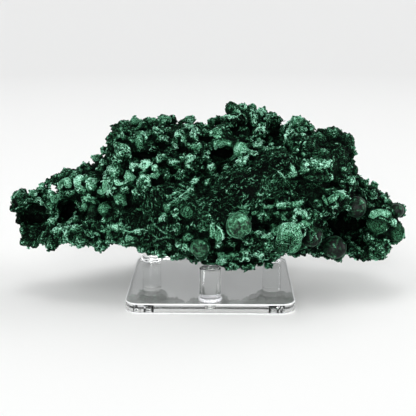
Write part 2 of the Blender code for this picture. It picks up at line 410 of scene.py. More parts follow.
CREST = {
    "head": (232.5, 109.5, 7.5, 8, -0.15, 0.6),
    "head_2": (243, 106.5, 6, 5, 0.1, 0.3),
    "head_3": (252, 106.5, 7, 5, -0.1, 0.3),
    "head_4": (260, 112.5, 5.5, 6, 0.35, 0.3),
    "head_5": (264, 107, 2.6, 2.6, -0.2, 0.4),
    "head_6": (271, 116.5, 5.5, 5, -0.25, 0.4),
    "head_7": (279, 120.5, 4.5, 4, -0.45, 0.4),
    "lip": (229, 117, 9, 2.6, 0.5, 0.5),
    "drop": (254, 122, 3, 3.5, 0.45, 0.4),
    "left_1": (212, 121, 6, 4.5, -0.1, 0.3),
    "left_2": (219, 118.5, 3.5, 4.5, -0.2, 0.3),
    "left_3": (200, 127, 8, 6, -0.15, 0.2),
    "left_4": (216, 133, 7, 5, 0.5, 0.3),
    "left_5": (193, 135, 4, 6, 0.1, 0.2),
    "hood": (225, 144, 8, 4.5, 0.4, 0.8),
    "pale_dome": (241, 150, 8, 8.5, 0.5, 0.9),
    "wreath": (243, 163, 9, 7, 0.3, 0.2),
    "ring_2": (257, 146, 6.5, 4.5, 0.15, 0.4),
    "flank": (254, 154, 6, 3.5, 0.05, 0.4),
}
CENTRE = {
    "shade_fold": (212, 173, 6, 12, -0.1, 0.5),
    "fleck_1": (292, 168, 3, 3, 0.5, 0.5),
    "crescent": (219, 234, 5.5, 8.5, 0.3, 0.8),
    "shelf_disc": (225, 255, 9, 5, 0.35, 0.8),
    "teal_disc": (188, 237, 6, 5, 0.15, 0.7),
    "leaf": (187, 247, 2.5, 3.5, 0.5, 0.6),
    "under_ball": (231, 243, 7, 4, -0.1, 0.6),
    "right_of_ball": (262, 216, 8, 6, 0.0, 0.2),
    "pad_1": (274, 231, 5.5, 3.5, 0.55, 0.6),
    "pad_2": (258, 254, 6.5, 4, 0.2, 0.5),
    "pad_3": (245, 257, 7, 5, 0.05, 0.3),
    "pad_4": (270, 246, 7.5, 6, 0.1, 0.6),
    "pad_5": (267, 236, 6, 2.4, 0.6, 0.4),
    "keel": (268, 264.5, 6, 5, -0.3, 0.3),
    "keel_1": (150, 250.5, 9.3, 6.3, -0.1, 0.1),
    "keel_2": (161, 252.5, 9.3, 5.8, -0.1, 0.1),
    "keel_3": (178, 255.5, 9.3, 5.8, -0.1, 0.1),
    "keel_4": (196, 260.5, 11.3, 4.8, -0.35, 0.2),
    "keel_5": (211, 256.5, 9.3, 5.8, -0.45, 0.4),
    "keel_6": (230, 265.5, 10.3, 5.8, -0.3, 0.3),
    "keel_7": (248, 265.5, 10.3, 5.8, -0.25, 0.3),
    "boulder_1": (288, 231, 12.5, 9, 0.75, 0.95),
    "boulder_2": (292, 240, 10, 14, 0.5, 0.9),
    "boulder_3": (281, 244, 9.5, 9, 0.15, 0.85),
}
RIGHT = {
    "horn": (297, 122.5, 7, 7, 0.3, 0.5),
    "horn_side": (303, 130, 6, 5, 0.0, 0.3),
    "horn_chip": (311, 126, 2.2, 2.6, 0.0, 0.4),
    "dome_1": (334, 136, 12, 10, -0.25, 0.2),
    "dome_2": (347, 143.5, 9, 11, -0.25, 0.2),
    "dome_3": (320, 138, 8, 6, -0.25, 0.2),
    "nib": (354, 153, 3.5, 3.5, -0.1, 0.5),
    "ledge": (354, 170, 4.5, 6, -0.2, 0.8),
    "eyebrow": (322, 152, 8, 4, 0.3, 0.2),
    "band": (316, 165, 16, 7.5, 0.25, 0.15),
    "band_left": (303, 169, 6, 5, 0.3, 0.3),
    "dusk": (315, 178, 12, 4, -0.2, 0.5),
    "loop": (352, 181, 4, 5, 0.4, 0.3),
    "stair_1": (362, 183, 7, 5.5, -0.1, 0.5),
    "stair_2": (374, 186, 4, 4.5, 0.2, 0.4),
    "stair_3": (371, 195, 7, 6, -0.1, 0.2),
    "stair_4": (385, 197, 5, 4.5, -0.2, 0.4),
    "cap": (380, 214.5, 12, 6, 0.65, 0.8),
    "cap_body": (377, 224, 10.5, 9, 0.1, 0.8),
    "cap_right": (393, 222, 5, 4, 0.4, 0.5),
    "fist": (395.5, 232, 9.5, 9.5, 0.15, 0.75),
    "heel": (379.5, 247, 12, 10.5, -0.1, 0.3),
    "heel_shade": (385, 243, 7, 7, -0.5, 0.3),
    "toe": (365, 256, 5.5, 5.5, -0.4, 0.5),
    "toe_2": (373, 254, 6, 5.5, -0.1, 0.4),
    "chin": (302, 250.5, 7, 5.5, -0.4, 0.4),
    "petal_wing": (341, 196, 4.5, 4.5, 0.1, 0.7),
    "olive": (316, 204, 8, 6, -0.2, 0.6),
    "grey_bean": (316, 213, 4, 3.5, -0.15, 0.5),
    "drip_side": (299, 212, 7, 6, 0.1, 0.3),
    "night_4": (354, 247, 7, 7, -0.4, 0.3),
}
LUMP_GROUPS = (LEFT_WING, LEFT_MIDDLE, CREST, CENTRE, RIGHT)

# Where the skin is pushed in: x, y, half width, half height in pixels, and how deep in mm
HOLLOWS = {
    "wing_hollow": (35, 214, 17, 13, 9.0),
    "wing_cave": (68, 209, 12, 12, 12.0),
    "slot_under_plates": (105, 199, 16, 2.5, 4.0),
    "block_gap": (145, 155, 16, 4, 6.0),
    "block_gap_2": (162, 146, 10, 6, 5.0),
    "block_gap_3": (184, 150, 8, 5, 5.0),
    "mid_shade": (135, 203, 13, 7, 2.0),
    "crest_pocket": (245, 129, 15, 9, 6.0),
    "crest_notch": (275, 130, 9, 8, 9.0),
    "hood_cave": (222, 152, 11, 6, 8.0),
    "left_pocket": (205, 140, 8, 5, 4.0),
    "ball_gap": (262, 227, 11, 4, 5.0),
    "ball_gap_2": (268, 202, 8, 2.5, 3.0),
    "ball_gap_3": (213, 246, 3, 9, 4.0),
    "right_cave": (341, 224, 23, 18, 14.0),
    "right_cave_2": (356, 232, 9, 16, 12.0),
    "right_slot": (330, 184, 12, 4, 4.0),
}

# Where the outline steps in: x, y, half width, half height, then the shift right and up, in pixels
NOTCHES = {
    "foot_gap_1": (68, 248, 7, 6, 0.0, 3.5),
    "foot_gap_2": (91, 249, 4, 4, 0.0, 3.0),
    "foot_gap_3": (115, 248, 8, 6, 0.0, 1.5),
    "tip_gap": (26, 190, 3.5, 4.5, 0.0, -4.5),
    "stair_gap": (395, 197, 8, 7, -2.0, -4.5),
    "knuckle_gap": (401, 220.5, 5, 4, -3.5, 0.0),
    "heel_gap": (397, 244, 4, 4, -1.5, 0.0),
    "low_right_gap": (346, 260, 7, 5, 0.0, 3.0),
    "ledge_gap": (358, 163, 4, 4, -3.0, 0.0),
    "wing_shoulder": (75, 166, 5, 5, 0.0, -3.5),
    "brow_gap": (286, 118, 3, 6, 0.0, -3.0),
}

# Holes right through the thin wing: x, y, half width, half height in pixels
PIERCED = {
    "wing_hole": (53, 188, 4.4, 4.6),
    "wing_hole_tail": (56, 191.5, 2.6, 3.2),
    "wing_slit": (76.5, 178, 1.7, 2.6),
}

# Broad lighter and darker patches, partly the stone's own tone and partly painted light and shade: x, y,
# half width, half height in pixels, change in tone
PATCHES = {
    "wing_cap": (72, 183, 20, 12, 0.35),
    "mint_bank": (98, 180, 24, 16, 0.35),
    "mint_bank_2": (128, 173, 22, 13, 0.35),
    "mint_bank_3": (152, 168, 14, 10, 0.25),
    "wing_floor": (32, 222, 16, 14, -0.4),
    "block_shade": (160, 148, 36, 10, -0.35),
    "block_shade_2": (188, 150, 14, 8, -0.3),
    "crest_shade": (245, 128, 18, 10, -0.3),
    "shoulder_glow": (214, 136, 12, 9, 0.35),
    "slab_glow": (238, 157, 20, 11, 0.35),
    "slab_glow_2": (268, 142, 16, 8, 0.35),
    "horn_glow": (292, 134, 14, 14, 0.3),
    "slab_glow_3": (203, 176, 14, 10, 0.3),
    "slope_dark": (232, 188, 36, 26, -0.3),
    "slope_dark_top": (272, 162, 26, 13, -0.3),
    "slope_dark_low": (212, 206, 14, 14, -0.2),
    "boulder_shade": (286, 244, 9, 7, -0.25),
    "wing_tip_glow": (14, 206, 6, 8, -0.3),
    "flag_glow": (50, 195, 9, 8, 0.3),
    "plates_glow": (112, 182, 22, 10, 0.5),
    "rear_glow": (248, 222, 10, 7, 0.3),
    "crescent_glow": (230, 236, 10, 8, 0.2),
    "ledge_glow": (267, 180, 12, 7, 0.2),
    "crest_dark": (232, 118, 12, 8, -0.2),
    "block_dark": (194, 124, 8, 8, -0.3),
    "low_shade_2": (194, 222, 10, 8, -0.2),
    "fist_shade": (320, 222, 8, 8, -0.3),
    "band_glow": (312, 164, 22, 10, 0.2),
    "centre_glow": (285, 212, 30, 11, 0.45),
    "centre_glow_2": (253, 212, 10, 6, 0.4),
    "left_glow": (205, 233, 16, 12, 0.3),
    "mossy_glow": (172, 212, 14, 9, 0.2),
    "mossy_shade": (160, 224, 16, 8, -0.3),
    "mid_shade": (142, 206, 22, 10, -0.25),
    "low_glow": (230, 250, 18, 8, 0.2),
    "right_shade": (334, 208, 16, 9, -0.5),
    "right_shade_2": (350, 182, 14, 9, -0.25),
    "right_shade_3": (362, 197, 12, 8, -0.35),
    "dome_shade": (340, 148, 18, 14, -0.3),
    "block_top_shade": (166, 122, 24, 9, -0.25),
    "block_left_shade": (121, 124, 12, 10, -0.25),
    "left_low_shade": (158, 236, 16, 9, -0.2),
    "left_low_shade_2": (122, 214, 16, 12, -0.25),
    "slope_deep": (244, 184, 18, 16, -0.25),
    "cap_shade": (378, 216, 16, 10, -0.25),
    "crest_right_shade": (266, 124, 9, 8, -0.25),
    "hood_shade": (194, 152, 10, 7, -0.2),
    "chin_shade": (308, 246, 14, 10, -0.25),
    "petal_shade": (338, 194, 9, 7, -0.25),
    "tip_shade": (16, 206, 7, 9, -0.2),
    "left_low_shade_3": (146, 234, 34, 12, -0.35),
    "mossy_bank_shade": (166, 193, 22, 9, -0.4),
    "block_mid_shade": (188, 146, 16, 11, -0.25),
    "block_face_shade": (128, 148, 16, 12, -0.22),
    "side_glow": (102, 155, 8, 8, 0.3),
    "fold_glow": (88, 170, 10, 6, 0.25),
    "drip_glow": (303, 222, 8, 7, 0.35),
    "olive_glow": (317, 196, 12, 7, 0.4),
    "olive_shade": (337, 208, 10, 6, -0.3),
    "stair_shade": (374, 194, 10, 8, -0.3),
    "bean_glow": (356, 207, 7, 6, 0.25),
    "low_edge_shade": (240, 262, 34, 6, -0.25),
    "pad_shade": (250, 243, 9, 14, -0.25),
    "brow_shade": (322, 151, 11, 9, -0.3),
    "slab_shade": (284, 160, 13, 11, -0.22),
    "foot_shade": (50, 238, 10, 10, -0.25),
    "disc_glow": (178, 222, 9, 8, 0.25),
    "wing_left_glow": (33, 194, 9, 7, 0.25),
    "wing_right_shade": (52, 197, 7, 7, -0.3),
    "heel_shade": (352, 252, 10, 8, -0.25),
    "top_shade": (170, 126, 34, 10, -0.2),
}

# Fine felt areas: x, y, half width, half height in pixels
FELT = {
    "slope": (248, 185, 50, 28),
    "slope_top": (276, 160, 28, 14),
    "slope_low": (212, 210, 32, 18),
    "right_dome": (330, 146, 26, 20),
    "low_left": (140, 232, 42, 20),
    "mid_left": (140, 207, 26, 12),
    "mossy_bank": (172, 192, 26, 14),
    "right_bank": (318, 186, 16, 12),
    "wing_floor": (35, 222, 18, 16),
}

# Smooth silky balls: x, y, radius in pixels, tone
BALLS = {
    "front_ball": (238.5, 225.5, 13.2, 0.42),
    "low_ball": (200, 247.5, 9.6, 0.3),
    "dark_ball_1": (357, 207, 10.5, -0.1),
    "dark_ball_2": (312.5, 236, 10.5, -0.2),
    "dark_ball_3": (335, 247, 11.5, -0.16),
    "dark_ball_4": (396.5, 210.5, 7.2, -0.1),
}

# Thin raised rims: tone, then points along each in pixels
RIMS = {
    "slab_edge_left": (0.7, (170, 203), (180, 197), (189, 190), (196, 180), (203, 174), (208, 167),
                       (215, 164), (225, 161), (233, 158)),
    "slab_edge_right": (0.8, (250, 151), (258, 152), (266, 148), (270, 141), (276, 137), (284, 136),
                        (289, 130), (292, 124)),
    "curl_arch": (0.9, (253, 138), (254, 132), (258, 128), (263, 127), (265, 131)),
    "low_edge": (0.8, (256, 215), (262, 209), (268, 206), (274, 207), (280, 204), (288, 203),
                 (297, 202), (304, 205)),
    "left_twig": (0.2, (148, 221), (152, 219), (154, 224), (160, 230), (168, 235)),
    "scratch": (0.7, (280, 172), (284, 177), (287, 182)),
    "shelf_lip": (0.5, (217, 251), (216, 255), (219, 260), (225, 262), (232, 263), (238, 266)),
    "crescent_lip": (0.9, (213, 223), (217, 226), (221, 230), (223, 236), (222, 241), (219, 245)),
    "left_garland": (0.1, (150, 232), (158, 239), (166, 237), (176, 238)),
    "wing_garland": (0.5, (104, 229), (112, 226), (120, 224), (128, 228)),
    "fold_edge": (0.7, (56, 206), (57, 211), (58, 216), (59, 219)),
    "nodule_arc": (0.5, (48, 222), (51, 219), (55, 218), (59, 221)),
    "nodule_foot": (0.5, (54, 228), (58, 229), (62, 231)),
    "corner_edge": (0.8, (64, 224), (67, 226), (66, 231), (64, 236)),
    "under_plate": (0.6, (96, 197), (101, 197), (106, 194), (111, 192)),
    "tip_line": (0.4, (15, 209), (19, 207), (23, 206), (26, 208)),
    "tip_arc": (0.4, (13, 199), (16, 194), (20, 190)),
    "cave_line": (0.3, (60, 203), (64, 202), (68, 200)),
    "arch_1": (0.8, (131, 171), (131, 166), (133, 162), (137, 161), (139, 164)),
    "lace_a": (0.9, (139, 168), (142, 163), (147, 161), (150, 164), (147, 168), (142, 168)),
    "lace_b": (0.9, (139, 174), (143, 171), (149, 169), (151, 173)),
    "scoop_rim": (0.8, (139, 188), (137, 184), (138, 180), (142, 177), (146, 176)),
    "scoop_right": (0.8, (145, 182), (148, 180), (149, 184), (147, 187)),
    "strand_1": (0.5, (157, 160), (158, 156), (161, 154), (164, 156), (168, 158), (171, 160)),
    "strand_2": (0.6, (166, 168), (171, 165), (175, 168), (180, 170), (184, 168)),
    "strand_3": (0.6, (171, 163), (175, 161), (180, 162), (184, 159), (188, 156), (193, 156)),
    "strand_4": (0.6, (183, 166), (187, 163), (191, 160), (194, 159)),
    "strand_5": (0.4, (180, 184), (184, 187), (189, 187)),
    "strand_6": (0.9, (191, 182), (195, 181), (197, 184)),
    "seam_1": (0.5, (113, 140), (118, 138), (121, 134), (124, 131)),
    "seam_2": (0.6, (146, 127), (148, 131), (147, 136)),
    "seam_3": (0.6, (121, 145), (126, 144), (129, 148), (126, 151)),
    "seam_4": (0.6, (160, 124), (163, 122), (162, 127), (164, 131)),
    "seam_5": (0.6, (172, 141), (174, 146), (177, 149)),
    "seam_6": (0.6, (172, 131), (176, 134), (175, 138), (172, 139)),
    "seam_7": (0.5, (183, 128), (186, 124), (189, 126), (188, 130)),
    "seam_8": (0.6, (192, 122), (193, 126), (194, 131)),
    "seam_9": (0.4, (117, 150), (117, 154), (121, 158)),
    "seam_10": (0.5, (100, 165), (106, 163), (112, 161), (118, 160)),
    "seam_11": (0.5, (101, 172), (107, 171), (113, 170)),
    "twig_2": (0.6, (165, 195), (168, 196), (172, 195), (176, 193), (181, 191)),
    "twig_3": (0.5, (175, 207), (178, 203), (183, 199), (187, 195), (191, 193)),
    "garland_2": (0.6, (133, 231), (138, 230), (143, 229), (147, 232)),
    "garland_3": (0.6, (108, 226), (113, 227), (117, 225), (121, 223)),
    "garland_4": (0.5, (120, 229), (124, 230), (129, 232), (134, 232)),
    "leaf_edge": (0.7, (182, 252), (183, 247), (185, 243), (187, 246), (188, 250)),
    "low_strand": (0.1, (150, 243), (155, 240), (162, 238)),
    "mossy_a": (0.7, (159, 222), (161, 217), (163, 214)),
    "mossy_b": (0.6, (165, 213), (170, 212), (175, 216), (180, 217)),
    "crest_line_1": (0.6, (221, 118), (226, 116), (232, 116), (238, 117)),
    "crest_line_2": (0.5, (233, 112), (238, 110), (243, 109), (246, 107)),
    "crest_line_3": (0.5, (243, 112), (248, 112), (252, 114)),
    "crest_line_4": (0.6, (251, 110), (256, 112), (260, 109), (264, 112), (268, 115)),
    "crest_arc": (0.6, (222, 128), (224, 124), (228, 123), (232, 126)),
    "hook_1": (0.6, (192, 130), (192, 125), (195, 129)),
    "hook_2": (0.7, (195, 139), (194, 136), (197, 133), (199, 135)),
    "ring_rim": (0.6, (252, 143), (254, 140), (259, 139), (262, 142), (259, 146), (254, 146)),
    "wreath_rim": (0.7, (235, 158), (235, 163), (238, 168), (243, 169), (249, 167), (251, 162),
                   (249, 157)),
    "wreath_inner": (0.7, (241, 157), (246, 157), (249, 160)),
    "dome_seam": (0.7, (240, 153), (245, 152), (249, 149)),
    "tripod": (0.4, (205, 155), (208, 159), (206, 164), (211, 161)),
    "slab_line_3": (0.8, (191, 181), (196, 179), (202, 177), (206, 173)),
    "slab_line_4": (0.6, (263, 150), (268, 147), (272, 143), (274, 147)),
    "flank_line": (0.4, (253, 156), (258, 153), (263, 150)),
    "horn_line_1": (0.5, (281, 126), (285, 124), (289, 121), (293, 118)),
    "horn_line_2": (0.6, (290, 126), (293, 130), (295, 134)),
    "ball_brow": (0.6, (229, 214), (234, 214), (240, 211), (246, 211), (250, 215)),
    "web_1": (0.4, (256, 193), (261, 195), (266, 193), (270, 195)),
    "web_2": (0.4, (262, 187), (266, 190), (270, 187)),
    "web_3": (0.5, (237, 206), (241, 208), (245, 209), (247, 205)),
    "foot_line_2": (0.5, (226, 241), (230, 243), (232, 246)),
    "foot_line_3": (0.7, (238, 252), (241, 251), (244, 254), (248, 253)),
    "foot_line_4": (0.5, (243, 258), (249, 258), (255, 257)),
    "foot_line_5": (0.6, (256, 253), (258, 256), (262, 254), (267, 253)),
    "bridge_line": (0.6, (250, 232), (254, 233), (258, 231), (262, 233)),
    "petal_rim": (0.9, (333, 193), (338, 191), (343, 192), (346, 196)),
    "petal_low_rim": (0.6, (330, 206), (334, 207), (338, 205)),
    "branch": (0.4, (344, 206), (348, 205), (352, 201)),
    "stem_1": (0.4, (367, 204), (371, 205), (374, 208)),
    "stem_2": (0.3, (369, 200), (374, 198), (379, 198)),
    "loop_rim": (0.6, (351, 186), (354, 183), (355, 179)),
    "drip_line": (0.7, (305, 211), (307, 216), (308, 221)),
    "drip_line_2": (0.9, (293, 213), (294, 218), (296, 221)),
    "cap_seam": (0.4, (379, 218), (384, 219), (388, 222), (393, 222)),
    "fist_line": (0.3, (404, 230), (404, 235), (402, 239)),
    "heel_line": (0.3, (384, 239), (388, 240), (390, 244)),
    "dark_ball_edge": (0.0, (320, 226), (322, 233), (321, 241), (318, 246)),
    "dark_star_1": (0.05, (334, 243), (334, 247), (337, 249)),
    "dark_star_2": (-0.05, (343, 244), (345, 243), (347, 246)),
    "dark_star_3": (0.1, (313, 235), (316, 233), (316, 237), (319, 241)),
    "dark_star_4": (-0.05, (302, 249), (306, 248), (308, 246)),
}

# Flat broken faces: tone, then the corners in pixels
PLATES = {
    "mint_1": (0.9, (102, 182), (107, 180), (112, 180), (112, 190), (108, 193), (102, 192)),
    "mint_1_foot": (0.8, (97, 190), (102, 189), (106, 193), (101, 195), (97, 193)),
    "mint_2": (0.9, (114, 180), (118, 181), (124, 184), (120, 186), (116, 185)),
    "mint_3": (0.8, (126, 170), (130, 171), (136, 177), (134, 181), (129, 181), (125, 175)),
    "cap_face": (0.8, (65, 181), (69, 180), (72, 184), (70, 188), (66, 188), (64, 185)),
    "cap_face_2": (0.5, (59, 181), (62, 180), (63, 187), (60, 189), (58, 185)),
    "shoulder_chip": (0.85, (77, 181), (81, 181), (81, 185), (77, 186), (75, 183)),
    "edge_fold_1": (0.6, (82, 188), (86, 189), (85, 192), (81, 191)),
    "ledge_1": (0.6, (83, 196), (90, 196), (97, 198), (93, 200), (82, 200)),
    "ledge_2": (0.6, (91, 200), (94, 200), (96, 204), (93, 203)),
    "flag_face": (0.45, (52, 196), (58, 195), (60, 197), (56, 203), (52, 203), (50, 199)),
    "flag_stem": (0.3, (43, 202), (47, 205), (49, 209), (44, 206), (41, 201)),
    "wing_top_1": (0.5, (38, 184), (42, 182), (45, 184), (43, 189), (40, 188)),
    "wing_top_2": (0.3, (30, 191), (33, 189), (37, 191), (34, 196), (31, 196)),
    "folds_1": (0.6, (86, 176), (92, 177), (98, 179), (94, 181), (88, 179)),
    "folds_2": (0.6, (88, 184), (94, 181), (99, 180), (95, 184), (90, 186)),
    "folds_3": (0.3, (91, 187), (95, 184), (97, 187), (93, 191)),
    "peak": (0.4, (131, 121), (135, 118), (139, 121), (136, 125), (132, 124)),
    "brow_1": (0.3, (146, 119), (152, 118), (156, 119), (153, 122), (148, 122)),
    "brow_2": (0.5, (160, 118), (163, 116), (168, 117), (166, 120), (162, 121)),
    "knob_face": (0.7, (149, 176), (153, 173), (158, 171), (160, 175), (157, 179), (152, 178)),
    "face_1": (0.3, (135, 132), (140, 130), (144, 133), (142, 137), (136, 137)),
    "face_2": (0.3, (135, 141), (139, 140), (143, 143), (142, 148), (137, 148)),
    "shelf": (0.4, (190, 145), (196, 144), (202, 146), (199, 149), (191, 149)),
    "crest_plate_1": (0.5, (211, 130), (216, 127), (222, 128), (220, 131), (214, 133)),
    "crest_plate_2": (0.5, (212, 135), (219, 134), (221, 138), (216, 139)),
    "stalk": (0.75, (214, 141), (217, 142), (218, 148), (215, 150), (213, 146)),
    "hood_edge": (0.5, (217, 145), (222, 142), (228, 141), (225, 146), (220, 148)),
    "dome_rim": (0.7, (234, 148), (236, 144), (240, 142), (239, 147), (237, 153), (234, 152)),
    "dome_foot": (0.6, (229, 159), (233, 155), (238, 153), (236, 158), (231, 161)),
    "petal_1": (0.6, (323, 195), (325, 196), (327, 201), (328, 206), (325, 204), (322, 198)),
    "petal_2": (0.6, (328, 198), (333, 194), (338, 192), (339, 196), (335, 201), (330, 204)),
    "petal_3": (0.3, (338, 191), (343, 193), (346, 196), (343, 199), (340, 196)),
    "boulder_1": (0.75, (280, 228), (286, 223), (293, 223), (299, 228), (297, 233), (288, 234)),
    "boulder_2": (0.65, (297, 228), (301, 234), (302, 240), (298, 243), (296, 236)),
    "boulder_3": (0.35, (288, 236), (296, 236), (299, 243), (294, 251), (288, 246)),
    "drip_face": (0.7, (301, 221), (304, 220), (309, 223), (310, 228), (306, 226), (302, 224)),
    "spark_a": (0.8, (283, 214), (286, 218), (288, 221), (282, 220), (281, 217)),
    "spark_b": (0.5, (272, 230), (275, 229), (278, 232), (275, 236), (272, 234)),
    "spark_c": (0.75, (277, 228), (282, 227), (284, 231), (280, 232)),
    "spark_d": (0.7, (264, 236), (267, 234), (270, 236), (267, 239)),
    "crescent_face": (0.35, (217, 230), (220, 229), (222, 234), (222, 240), (219, 244), (216, 240)),
    "pale_left": (0.75, (210, 225), (214, 224), (215, 232), (213, 239), (210, 236)),
    "shelf_disc": (0.4, (217, 253), (223, 252), (229, 257), (224, 260), (219, 259)),
    "wave": (0.6, (275, 254), (280, 253), (285, 251), (283, 255), (277, 256)),
    "cap_top": (0.7, (369, 217), (372, 211), (379, 209), (387, 210), (391, 214), (388, 218),
                (380, 215), (373, 219)),
    "splinter": (0.7, (383, 196), (386, 197), (388, 202), (385, 203)),
    "ball_cap": (0.5, (236, 213), (243, 211), (249, 212), (247, 215), (238, 215)),
    "nut": (0.7, (251, 212), (255, 211), (259, 211), (256, 214), (252, 216)),
    "bank_1": (0.6, (262, 207), (268, 205), (274, 205), (272, 208), (265, 209)),
    "bank_2": (0.6, (276, 204), (282, 202), (288, 203), (284, 207), (278, 208)),
    "bank_3": (0.6, (290, 203), (296, 201), (303, 201), (300, 206), (293, 206)),
    "pebble_face": (0.5, (133, 191), (137, 190), (138, 194), (134, 194)),
    "twig_face": (0.3, (135, 209), (140, 208), (145, 209), (140, 211)),
    "mossy_face": (0.5, (163, 205), (168, 206), (171, 209), (167, 212), (164, 209)),
    "low_face_1": (0.6, (126, 237), (131, 236), (134, 238), (129, 240), (126, 240)),
    "low_face_2": (0.5, (100, 231), (104, 229), (108, 230), (104, 233)),
    "low_face_3": (0.6, (106, 231), (111, 230), (110, 234), (107, 235)),
    "bag_face": (0.4, (113, 197), (118, 195), (120, 199), (118, 205), (114, 200)),
    "bag_rim": (0.65, (123, 202), (126, 201), (127, 205), (123, 206)),
    "velvet_face": (0.25, (98, 207), (103, 203), (109, 205), (111, 208), (106, 210), (101, 211)),
    "chip_face": (0.95, (95, 233), (97, 232), (99, 234), (97, 236)),
    "pale_corner": (0.8, (67, 222), (71, 220), (71, 223), (68, 226)),
    "bead_face": (0.5, (82, 206), (85, 203), (88, 206), (86, 210), (83, 210)),
    "white_slit": (0.9, (73, 213), (76, 211), (77, 212), (75, 214)),
    # painted highlight: the glint is a pale flat face standing in for a highlight
    "glint": (0.8, (290, 167), (293, 167), (295, 171), (292, 171)),
    "horn_face": (0.3, (293, 118), (298, 116), (303, 121), (299, 127), (294, 125)),
    "teal_face": (0.2, (184, 235), (189, 233), (193, 237), (189, 241), (185, 240)),
    "disc_face": (0.2, (181, 210), (187, 207), (193, 211), (192, 216), (186, 218), (181, 215)),
}
PLATE_PROUD = 0.9 * MM
PLATE_BACK = 2.2 * MM

RIM_RADIUS = 1.0                  # pixels
PLATE_DEPTH = 0.55
LUMP_BULGE = 0.55                 # share of a lump's depth that stands out of the CAD skin
ROUND_SILK = 0.7                  # silkier lumps are smooth
FOLDED_SILK = 0.4                 # those between are folded into large facets, the rest crumbly
FACET_SPREAD = 1.12               # a faceted shape is this much larger to fill its oval


def view_axes():
    """The frame's right, up and away directions in the world."""
    turn = camera_rotation()
    return [turn @ Vector(axis) for axis in ((1, 0, 0), (0, 1, 0), (0, 0, -1))]


def frame_axes():
    """The same three directions as the rows of an array."""
    return np.array([axis[:] for axis in view_axes()])


def tone_patches(places, patches):
    """Sum of the broad lighter and darker patches at each place on the front: partly the stone's own
    tone, partly painted light and shade.
    """
    axes = frame_axes()
    total = np.zeros(len(places))
    for middle, wide, high, change in patches:
        local = (places - middle) @ axes.T
        reach = (local[:, 0] / wide) ** 2 + (local[:, 1] / high) ** 2 + (local[:, 2] / (30 * MM)) ** 2
        total += change * np.clip(1.5 * (1 - reach), 0, 1)
    return total


class Ovals:
    """Ellipsoids that face the camera, as arrays."""

    def __init__(self):
        self.centres, self.halves, self.tone, self.silk = [], [], [], []

    def add(self, centre, halves, tone, silk):
        self.centres.append(centre[:])
        self.halves.append(halves)
        self.tone.append(tone)
        self.silk.append(silk)

    def close(self):
        self.axes = frame_axes()
        self.centres = np.array(self.centres)
        self.halves = np.array(self.halves)
        self.tone = np.array(self.tone)
        self.silk = np.array(self.silk)
        return self

    def mesh(self, detail, uneven=0.0, which=None):
        """The chosen ones, or all, as one set of places and triangles."""
        which = np.ones(len(self.centres), bool) if which is None else which
        centres, halves = self.centres[which], self.halves[which]
        shape, corners = ico_template(detail)
        rng = np.random.default_rng(len(centres))
        turned = shape[None] @ random_turns(len(centres), rng)
        if detail == 0:
            turned = turned * FACET_SPREAD
        swell = 1 + uneven * rng.uniform(-1, 1, (len(centres), len(shape), 1))
        places = centres[:, None] + (turned * swell * halves[:, None]) @ self.axes
        return places.reshape(-1, 3), repeated(corners, len(centres), len(shape))

    def depth_in(self, places, index):
        """0 at the oval's middle, 1 on its surface, more outside."""
        local = (places - self.centres[index]) @ self.axes.T / self.halves[index]
        return np.linalg.norm(local, axis=1)


def seat_oval(tree, x, y, wide, high, bulge=0.5):
    """Centre and half sizes of a lump that stands bulge of its depth out of the skin."""
    place, _ = on_surface(tree, x, y)
    pixel = pixel_size(place)
    deep = 0.5 * (wide + high) * pixel
    centre = place + pixel_ray(x, y) * deep * (1 - bulge)
    return centre, (wide * pixel, high * pixel, deep)


def is_plate(tone, silk):
    """Pale silky pieces are flat facets rather than round lumps."""
    return (tone >= 0.8) & (silk >= 0.7)


def place_lumps(tree):
    ovals = Ovals()
    for group in LUMP_GROUPS:
        for x, y, wide, high, tone, silk in group.values():
            centre, halves = seat_oval(tree, x, y, wide, high, LUMP_BULGE)
            if is_plate(tone, silk):
                halves = (halves[0], halves[1], halves[2] * PLATE_DEPTH)
            ovals.add(centre, halves, tone, silk)
    return ovals.close()


def place_rims(tree):
    """Beads strung along each rim, close enough to run together."""
    ovals = Ovals()
    for tone, *points in RIMS.values():
        for (x0, y0), (x1, y1) in zip(points, points[1:]):
            steps = max(2, int(math.hypot(x1 - x0, y1 - y0) / 0.8))
            for step in range(steps):
                part = step / steps
                x, y = x0 + (x1 - x0) * part, y0 + (y1 - y0) * part
                size = RIM_RADIUS * (1 + 0.3 * math.sin(2.1 * x + 1.3 * y))
                centre, halves = seat_oval(tree, x, y, size, size, 0.8)
                ovals.add(centre, halves, tone, 0.5)
    return ovals.close()


def place_plates(tree):
    """Each flat face as a low closed block set into the skin: pixel corners, depth, tone, shape."""
    plates = []
    toward = -frame_axes()[2]
    for tone, *corners in PLATES.values():
        middle = tuple(np.mean(corners, axis=0))
        centre = np.array(on_surface(tree, *middle)[0][:])
        ring = []
        for x, y in corners:
            place = np.array(on_surface(tree, x, y)[0][:])
            off = np.clip((place - centre) @ toward, -2.5 * MM, 2.5 * MM)
            flat = pixel_point(x, y, centre)
            ring.append(flat + toward * off)
        ring = np.array(ring)
        count = len(ring)
        top = np.vstack([ring + toward * 0.35 * PLATE_PROUD, centre + toward * PLATE_PROUD])
        low = np.vstack([ring - toward * PLATE_BACK, centre - toward * PLATE_BACK])
        here = np.arange(count)
        after = (here + 1) % count
        peak, foot, base = count, 2 * count + 1, count + 1
        faces = np.vstack([
            np.stack([here, np.full(count, peak), after], 1),
            np.stack([base + here, base + after, np.full(count, foot)], 1),
            np.stack([here, after, base + here], 1),
            np.stack([after, base + after, base + here], 1),
        ])
        plates.append((np.array(corners, float), centre, tone, np.vstack([top, low]), faces))
    return plates


def pixel_point(x, y, beside):
    """The point on a pixel's line of sight at the same depth as another point."""
    ahead = view_axes()[2]
    ray = pixel_ray(x, y)
    depth = (Vector(beside) - CAMERA_PLACE).dot(ahead)
    return np.array((CAMERA_PLACE + ray * (depth / ray.dot(ahead)))[:])


